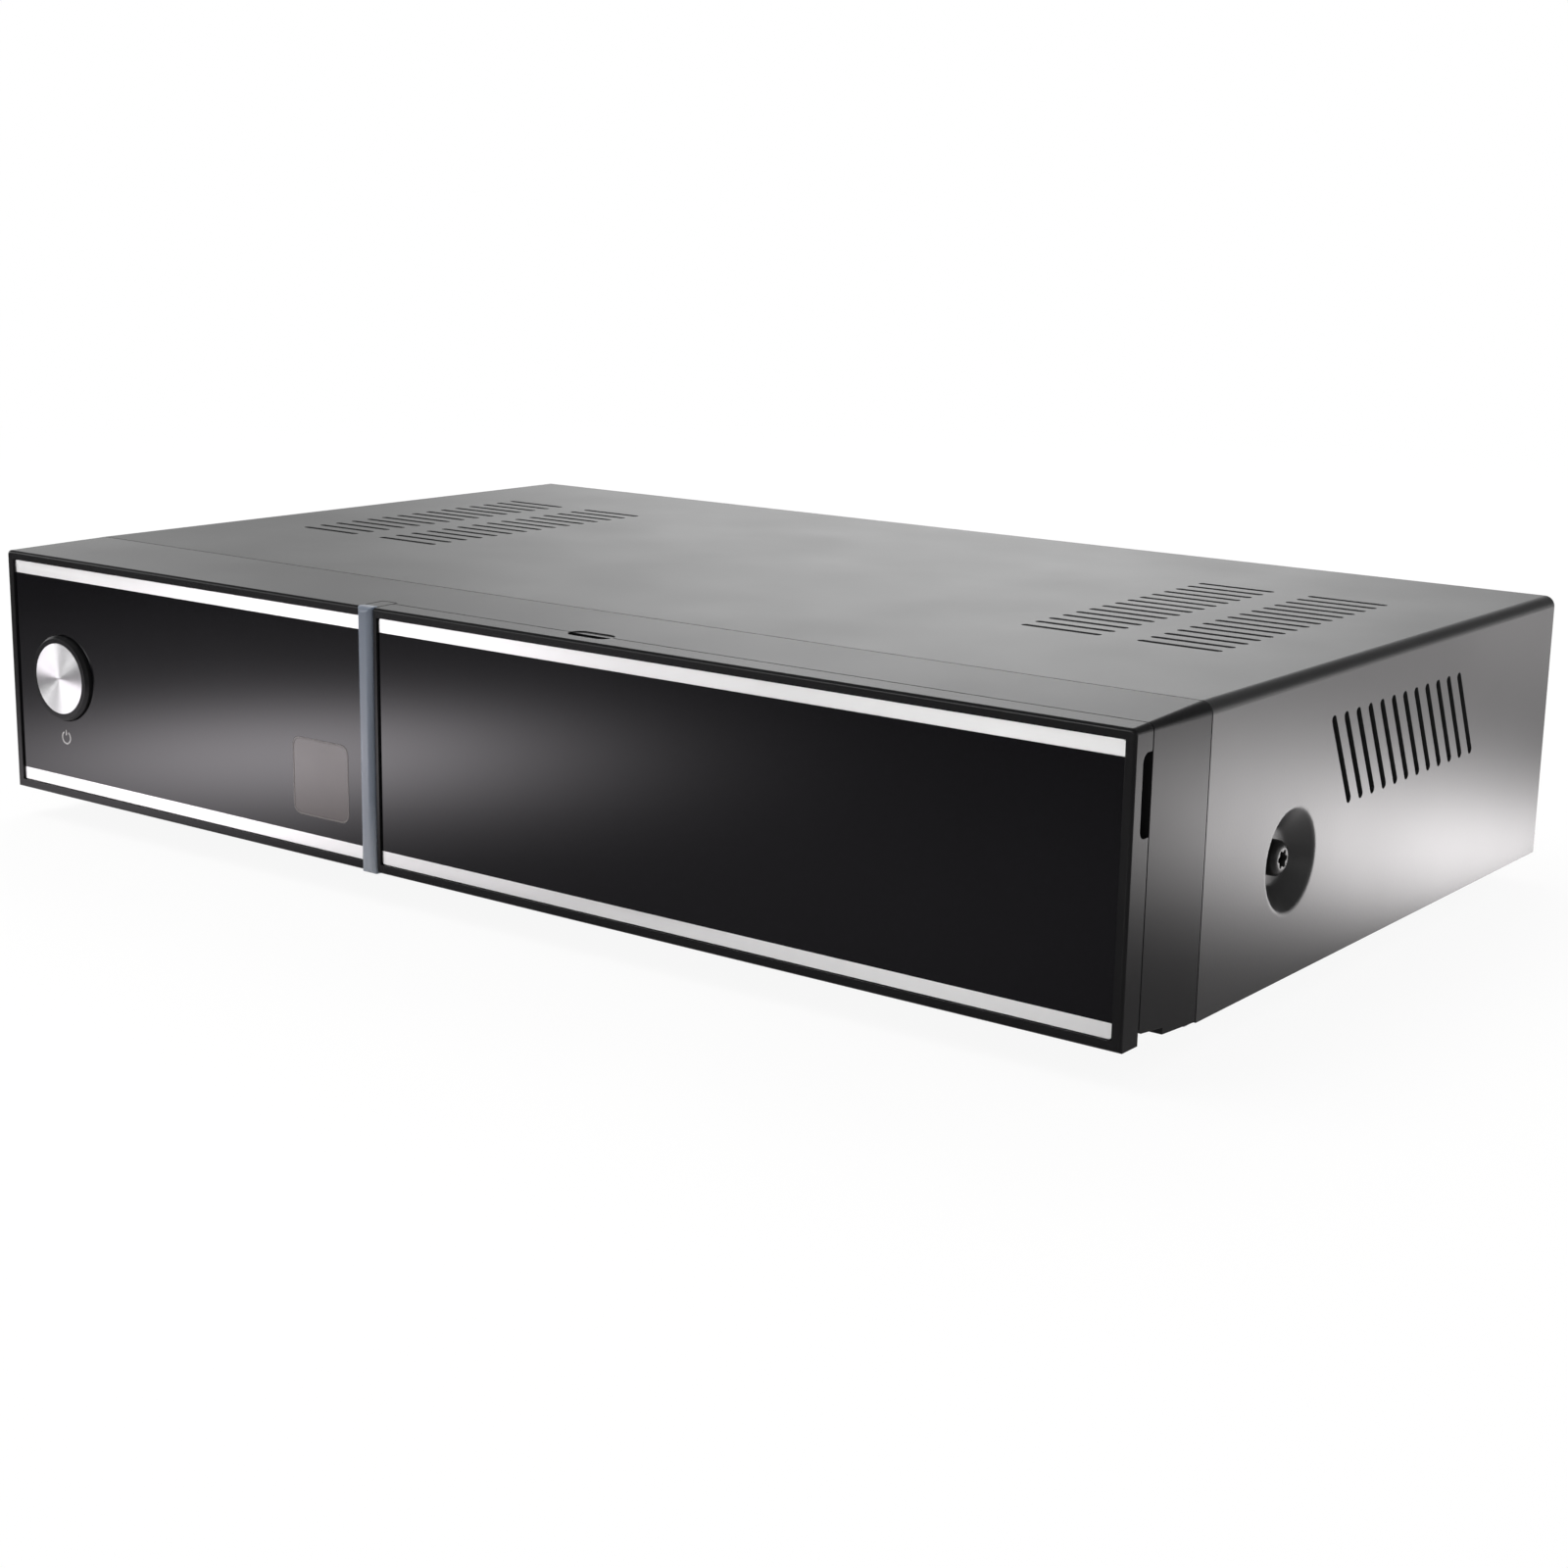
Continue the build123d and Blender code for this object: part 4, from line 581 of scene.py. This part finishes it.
def f_nuts():
    """Hexagon nuts with both faces chamfered."""
    bore, chamfer, trimmed = 5.35 * MM, 0.4 * MM, 0.985    # the faces' corners are trimmed to a circle
    works = []
    for low, high in solids("f_nuts"):
        across = min(high.x - low.x, high.z - low.z)
        thick = high.y - low.y
        face = hexagon(across, trimmed * across / 2)
        full = hexagon(across, across)
        rows = [(0, bore), (0, face), (chamfer, full), (thick - chamfer, full), (thick, face), (thick, bore)]
        middle = (low + high) / 2
        work = turned(rows, (0, 0, 0), (0, 0, 1), steps=72, closed=True)
        if high.x - low.x > high.z - low.z:
            bmesh.ops.rotate(work, verts=work.verts, matrix=Matrix.Rotation(math.radians(30), 3, "Z"))
        works.append(aimed(work, (middle.x, low.y, middle.z), (0, 1, 0)))
    piece("f_nuts_chamfered", works, nickel, replaces="f_nuts")


def aerial_socket():
    """Shell, insulator and contact sleeve of the plain coaxial socket."""
    low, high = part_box("aerial_socket")
    base_radius, base_length = 5.5 * MM, 1.4 * MM
    radius, wall, depth = 4.72 * MM, 0.7 * MM, 7.0 * MM
    sleeve, hole = 2.3 * MM, 1.2 * MM
    edge, chamfer, lead_in, insulator = 0.2 * MM, 0.3 * MM, 0.1 * MM, 0.8 * MM
    length = high.y - low.y
    bore, bottom, tip = radius - wall, length - depth, length - wall
    place = ((low.x + high.x) / 2, low.y, (low.z + high.z) / 2)
    rows = [(0, sleeve), (0, base_radius), (base_length - edge, base_radius),
            (base_length, base_radius - edge), (base_length, radius), (length - chamfer, radius),
            (length, radius - edge), (length, bore + lead_in), (length - edge, bore), (bottom, bore),
            (bottom, sleeve)]
    shell = turned(rows, place, (0, 1, 0), closed=True)
    rows = [(edge, hole), (edge, sleeve), (tip - chamfer, sleeve), (tip, sleeve - chamfer),
            (tip, hole + chamfer), (tip - chamfer, hole)]
    contact = turned(rows, place, (0, 1, 0), closed=True)
    piece("aerial_socket_shell", [shell, contact], nickel, replaces="aerial_socket")
    under, top = bottom - edge, bottom + insulator
    rows = [(under, sleeve), (under, bore), (top, bore), (top, sleeve)]
    ring = turned(rows, place, (0, 1, 0), closed=True)
    piece("aerial_socket_insulator", [ring], socket_white)


# ---------------------------------------------------------------- contacts inside the sockets
def contact_row(count, pitch, middle, width, height, y0, y1):
    """Row of flat contacts along Y, side by side about the middle."""
    x, z = middle
    works = []
    for index in range(count):
        left = x + (index - (count - 1) / 2) * pitch - width / 2
        works.append(block((left, y0, z - height / 2), (left + width, y1, z + height / 2), height / 4, 1))
    return works


def hdmi_contacts():
    """Tongue with ten contacts on top and nine below."""
    low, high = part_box("hdmi_socket")
    x, z = (low.x + high.x) / 2, (low.z + high.z) / 2
    half, thick, cover, edge = 5.8 * MM, 0.7 * MM, 0.03 * MM, 0.15 * MM
    set_back, depth = 1.6 * MM, 7.9 * MM
    pitch, width, proud, bare_tip = 1.0 * MM, 0.45 * MM, 0.12 * MM, 0.7 * MM
    front, rear = high.y - set_back, high.y - depth
    across, up = half + cover, thick + cover
    tongue = block((x - across, rear, z - up), (x + across, front + cover, z + up), edge)
    piece("hdmi_tongue", [tongue], socket_black)
    works = []
    for count, side in ((10, 1), (9, -1)):
        works += contact_row(count, pitch, (x, z + side * up), width, proud, rear, front - bare_tip)
    piece("hdmi_contacts", works, contact_gold)


def usb_contacts(x, bottom_z, face_y, way):
    """White tongue and its four contacts in one socket that faces front (-1) or rear (+1)."""
    tongue_top, half, thick, cover, edge = 5.5 * MM, 5.5 * MM, 2.0 * MM, 0.03 * MM, 0.2 * MM
    count, pitch, width, proud = 4, 2.3 * MM, 1.0 * MM, 0.16 * MM
    tongue_reach, contact_reach = (1.57 * MM, 11.9 * MM), (3.0 * MM, 11.8 * MM)
    across, top = half + cover, bottom_z + tongue_top
    under = top - thick - cover
    near, far = sorted(face_y - way * reach for reach in tongue_reach)
    tongue = block((x - across, near, under), (x + across, far, top + cover), edge)
    near, far = sorted(face_y - way * reach for reach in contact_reach)
    return tongue, contact_row(count, pitch, (x, under), width, proud, near, far)


def usb_sockets():
    tongues, contacts = [], []
    low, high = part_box("usb_stack")
    front_low, front_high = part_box("front_usb")
    stack_x, front_x = (low.x + high.x) / 2, (front_low.x + front_high.x) / 2
    stack_pitch = 8.4 * MM
    sockets = [(stack_x, low.z, high.y, 1), (stack_x, low.z + stack_pitch, high.y, 1),
               (front_x, front_low.z, front_low.y, -1)]
    for x, bottom_z, face_y, way in sockets:
        tongue, row = usb_contacts(x, bottom_z, face_y, way)
        tongues.append(tongue)
        contacts += row
    piece("usb_tongues", tongues, socket_white)
    piece("usb_contacts", contacts, contact_gold)


def network_contacts():
    """Eight sprung wires that slope back under the roof of the mouth."""
    low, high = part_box("network_socket")
    x, roof = (low.x + high.x) / 2, low.z + 11.6 * MM
    count, pitch, width = 8, 1.02 * MM, 0.45 * MM
    front_reach, front_drop = 2.2 * MM, 0.3 * MM
    rear_reach, rear_drop = 11.5 * MM, 4.2 * MM
    works = []
    for index in range(count):
        across = x + (index - (count - 1) / 2) * pitch
        start = (across, high.y - front_reach, roof - front_drop)
        end = (across, high.y - rear_reach, roof - rear_drop)
        works.append(beam(start, end, width, width))
    piece("network_contacts", works, contact_gold)


def inlet_pin():
    """Metal sleeve with a round nose over the inlet's centre pin."""
    low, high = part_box("power_inlet")
    pin_height, depth, set_back = 6.3 * MM, 9.4 * MM, 1.55 * MM
    radius, nose, rounding = 1.03 * MM, 0.5 * MM, 5
    place = ((low.x + high.x) / 2, high.y - depth, low.z + pin_height)
    length = depth - set_back
    rows = [(0, 0), (0, radius), (length - nose, radius)]
    for step in range(1, rounding):
        turn = math.radians(90 * step / rounding)
        rows.append((length - nose + nose * math.sin(turn), radius * math.cos(turn)))
    rows.append((length, 0))
    piece("inlet_pin_sleeve", [turned(rows, place, (0, 1, 0))], nickel)


# ---------------------------------------------------------------- printed and moulded marks
def arc_bar(radius, width, thick, start, end, steps=40):
    """Flat bar bent round an arc in its own XY plane, from one angle in degrees to another."""
    inner, outer = radius - width / 2, radius + width / 2
    section = ((inner, 0), (outer, 0), (outer, thick), (inner, thick))
    rings = []
    for step in range(steps + 1):
        angle = math.radians(start + (end - start) * step / steps)
        across, up = math.cos(angle), math.sin(angle)
        rings.append([(reach * across, reach * up, height) for reach, height in section])
    return bridged(rings, capped=True)


def notch_ledge():
    """Level ledge moulded into the finger notch's rear half, on the housing's side of the parting line."""
    notch_inset, parting_depth = 107.8 * MM, 5.1 * MM    # part.py's top_notch_inset and parting_depth
    straight, end_radius, bite = 2.6 * MM, 2.05 * MM, 0.02 * MM
    start, end, drop, thick, steps = 0.25 * MM, 1.85 * MM, 0.12 * MM, 1.1 * MM, 10
    notch_x, parting_y = right_x - notch_inset, front_y + parting_depth
    section = ((-1, drop + thick), (1, drop + thick), (1, drop), (-1, drop))
    rings = []
    for step in range(steps + 1):
        away = start + (end - start) * step / steps
        half = straight + math.sqrt(end_radius ** 2 - away ** 2) + bite
        rings.append([(notch_x + side * half, parting_y + away, rim_z - depth) for side, depth in section])
    piece("notch_ledge", [bridged(rings, capped=True)], housing_black)


def power_mark():
    """Generic on-off sign printed under the button: an open ring with a bar in its gap."""
    drop, gap = 12.2 * MM, 64    # the gap in the ring is in degrees
    radius, line, thick, sunk = 1.25 * MM, 0.32 * MM, 0.05 * MM, 0.02 * MM
    place, normal = face_of("left_panel", button_centre.x, button_centre.z - drop, -1)
    place -= normal * sunk
    ring = arc_bar(radius, line, thick, 90 + gap / 2, 450 - gap / 2)
    bar = block((-line / 2, 0.35 * radius, 0), (line / 2, 1.25 * radius, thick), thick / 4, 1)
    works = [aimed(work, place, normal) for work in (ring, bar)]
    piece("power_mark", works, print_grey)


def window_edge():
    """Fine lighter line round the infra-red window, over the joint with the panel: a painted highlight where
    the window's edge catches light.
    """
    low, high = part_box("infrared_window")
    middle = (low + high) / 2
    corner, line, thick, steps = 1.9 * MM, 0.32 * MM, 0.05 * MM, 8
    overlap, sunk = 0.08 * MM, 0.02 * MM
    half = (high.x - low.x) / 2 + overlap
    rings = []
    for reach, height in ((half, 0), (half, thick), (half - line, thick), (half - line, 0)):
        radius = corner - (half - reach)
        ring = []
        for quarter in range(4):
            diagonal = math.radians(90 * quarter + 45)
            across = math.copysign(reach - radius, math.cos(diagonal))
            up = math.copysign(reach - radius, math.sin(diagonal))
            for step in range(steps + 1):
                angle = math.radians(90 * (quarter + step / steps))
                ring.append((across + radius * math.cos(angle), up + radius * math.sin(angle), height))
        rings.append(ring)
    place = Vector((middle.x, low.y + sunk, middle.z))
    work = aimed(bridged(rings, closed=True), place, (0, -1, 0))
    piece("window_edge", [work], window_edge_highlight)


def rocker_marks():
    """Ring and bar on the two halves of the power rocker."""
    middle = middle_of("rocker_cap")
    away, thick, sunk, line = 2.7 * MM, 0.12 * MM, 0.06 * MM, 0.4 * MM
    radius, half = 1.3 * MM, 1.4 * MM
    place, normal = face_of("rocker_cap", middle.x, middle.z - away, 1)
    inner, outer = radius - line / 2, radius + line / 2
    rows = [(0, inner), (0, outer), (thick, outer), (thick, inner)]
    ring = turned(rows, place - normal * sunk, normal, closed=True)
    place, normal = face_of("rocker_cap", middle.x, middle.z + away, 1)
    bar = block((-line / 2, -half, 0), (line / 2, half, thick), thick / 4, 1)
    piece("rocker_marks", [ring, aimed(bar, place - normal * sunk, normal)], key_white, body="rocker")


screws()
f_connectors()
f_nuts()
aerial_socket()
hdmi_contacts()
usb_sockets()
network_contacts()
inlet_pin()
notch_ledge()
power_mark()
window_edge()
rocker_marks()


# ---------------------------------------------------------------- stage, lamps and camera
# Soft patches of the surroundings that gloss sees: a direction, the cosines where the patch begins and where
# it is whole, and what it adds to the white.
gloss_patches = (
    ((0.50, -0.82, 0.28), 0.20, 0.85, -0.70),       # behind the camera
    ((0.0, 0.0, 1.0), 0.15, 0.60, -0.85),           # ceiling
    ((-0.68, 0.73, 0.11), 0.980, 0.998, -0.35),     # left rear
    ((-0.54, 0.84, 0.04), 0.960, 0.998, 1.50),      # rear
    ((-0.93, -0.35, 0.10), 0.92, 0.98, 2.6),        # left, for the turned face of the button
    ((-0.42, 0.87, 0.28), 0.965, 0.995, -0.30),     # rear, higher up
    ((0.30, 0.80, 0.50), 0.80, 0.95, -0.90),        # right rear, where the cover's long edge looks
)
least_gloss = 0.1     # what gloss sees at least
world_light = 0.55    # what matt surfaces see

# Cards that only reflections see. Two lie just over the floor, and one stands far off at the front left. A
# spot is a place, a radius and a strength.
card_z = 0.6 * MM
front_gap, side_gap = 2 * MM, 4 * MM
front_spots = (
    ((-0.127, -0.157, card_z), 0.041, 3.65),
    ((-0.19, -0.19, card_z), 0.09, 0.30),
    ((0.02, -0.115, card_z), 0.10, 0.14),
)
rear_spots = (
    ((0.160, 0.082, card_z), 0.038, 4.6),
    ((0.205, 0.115, card_z), 0.046, 2.0),
    ((0.225, 0.31, card_z), 0.05, 0.6),
    ((0.145, 0.05, card_z), 0.025, 0.45),
    ((0.34, 0.46, card_z), 0.12, 1.8),
    ((0.27, -0.08, card_z), 0.07, -0.20),
)
box_left, box_right = (-2.69, -2.48), (-1.36, -3.26)
box_low, box_high = 0.03, 0.95
box_corners = [(*box_left, box_low), (*box_right, box_low), (*box_right, box_high), (*box_left, box_high)]
box_spots = (
    ((*box_right, 0.4), 0.5, 6.8),
)


def stage_card(name, corners):
    """Flat card of the set through four corners."""
    mesh = bpy.data.meshes.new(name)
    mesh.from_pydata(corners, [], [(0, 1, 2, 3)])
    made = bpy.data.objects.new(name, mesh)
    scene.collection.objects.link(made)
    return made


def level_card(name, low, high, z):
    """Level card between two corners."""
    corners = [(low[0], low[1], z), (high[0], low[1], z), (high[0], high[1], z), (low[0], high[1], z)]
    return stage_card(name, corners)


def stage_material(made):
    """Bare material of a card, as the graph of its nodes and the socket that shows."""
    material = bpy.data.materials.new(made.name)
    graph = Graph(material)
    graph.tree.nodes.clear()
    made.data.materials.append(material)
    return graph, graph.node("ShaderNodeOutputMaterial").inputs["Surface"]


def floor():
    """Pale floor. The camera sees it nearly white near the object, where the shadow is, and white beyond."""
    half, near, far, near_white = 6.0, 0.30, 0.90, 0.92
    graph, surface = stage_material(level_card("floor", (-half, -half), (half, half), 0.0))
    matt = graph.node("ShaderNodeBsdfDiffuse")
    graph.feed(matt.inputs["Color"], (0.96, 0.95, 0.945, 1.0))
    white = graph.node("ShaderNodeEmission")
    seen = graph.node("ShaderNodeLightPath").outputs["Is Camera Ray"]
    away = graph.vectors("LENGTH", "Value", graph.coordinates())
    mixed = graph.node("ShaderNodeMixShader")
    graph.feed(mixed.inputs[0], graph.maths("MULTIPLY", seen, graph.ramp(away, near_white, 1.0, near, far)))
    graph.feed(mixed.inputs[1], matt.outputs[0])
    graph.feed(mixed.inputs[2], white.outputs[0])
    graph.feed(surface, mixed.outputs[0])


def reflector(made, level, tint, spots):
    """Make a card glow for reflections alone: an even level with soft round spots."""
    graph, surface = stage_material(made)
    coords = graph.coordinates()
    total = level
    for place, radius, strength in spots:
        away = graph.vectors("DISTANCE", "Value", coords, place)
        square = graph.maths("POWER", away, 2.0)
        fall = graph.maths("EXPONENT", graph.maths("MULTIPLY", square, -0.5 / radius ** 2))
        total = graph.maths("ADD", graph.maths("MULTIPLY", fall, strength), total)
    glow = graph.node("ShaderNodeEmission")
    graph.feed(glow.inputs["Color"], (*tint, 1.0))
    graph.feed(glow.inputs["Strength"], total)
    graph.feed(surface, glow.outputs[0])
    made.visible_camera = False
    made.visible_diffuse = False
    made.visible_shadow = False
    made.visible_transmission = False


def world():
    """White where the camera and glass look. Gloss sees white with soft patches, and a lower level lights
    the object.
    """
    made = bpy.data.worlds.new("studio")
    graph = Graph(made)
    background = graph.tree.nodes["Background"]
    graph.feed(background.inputs["Color"], (1.0, 1.0, 1.0, 1.0))
    path = graph.node("ShaderNodeLightPath").outputs
    coords = graph.coordinates("Generated")
    total = 1.0
    for direction, begins, whole, change in gloss_patches:
        facing = graph.vectors("DOT_PRODUCT", "Value", coords, Vector(direction).normalized())
        patch = graph.ramp(facing, 0.0, change, begins, whole, interpolation_type="SMOOTHSTEP")
        total = graph.maths("ADD", total, patch)
    level = graph.blend(path["Is Glossy Ray"], world_light, graph.maths("MAXIMUM", total, least_gloss))
    clear = graph.maths("MAXIMUM", path["Is Camera Ray"], path["Is Transmission Ray"])
    graph.feed(background.inputs["Strength"], graph.blend(clear, level, 1.0))
    scene.world = made


def lamp(name, place, aim, width, height, power):
    """Soft box at a place, turned to a point."""
    light = bpy.data.lights.new(name, "AREA")
    light.shape = "RECTANGLE"
    light.size, light.size_y = width, height
    light.energy = power
    made = bpy.data.objects.new(name, light)
    scene.collection.objects.link(made)
    made.location = place
    made.rotation_euler = (Vector(aim) - Vector(place)).to_track_quat("-Z", "Y").to_euler()
    made.visible_camera = False
    made.visible_glossy = False


def camera():
    data = bpy.data.cameras.new("camera")
    data.lens = camera_lens
    data.sensor_width = camera_sensor
    made = bpy.data.objects.new("camera", data)
    scene.collection.objects.link(made)
    back = -camera_direction
    up = back.cross(camera_right).normalized()
    right = up.cross(back)
    turn = Matrix((right, up, back)).transposed()
    made.matrix_world = Matrix.Translation(camera_place) @ turn.to_4x4()
    scene.camera = made


floor()
front_card = level_card("front_card", (-1.6, -1.6), (1.6, front_y - front_gap), card_z)
reflector(front_card, level=0.05, tint=(1.0, 0.95, 1.0), spots=front_spots)
rear_card = level_card("rear_card", (right_x + side_gap, -0.5), (1.4, 1.6), card_z)
reflector(rear_card, level=0.32, tint=(1.0, 0.975, 0.98), spots=rear_spots)
front_box = stage_card("front_box", box_corners)
reflector(front_box, level=1.9, tint=(1.0, 1.0, 1.0), spots=box_spots)
world()
lamp("key", place=(-0.5, -0.4, 1.3), aim=(0, 0, 0), width=0.9, height=0.9, power=9.0)
lamp("back", place=(-0.5, 0.9, 1.1), aim=(0, 0, 0.03), width=1.0, height=0.8, power=9.0)
camera()

scene.view_settings.view_transform = "Standard"
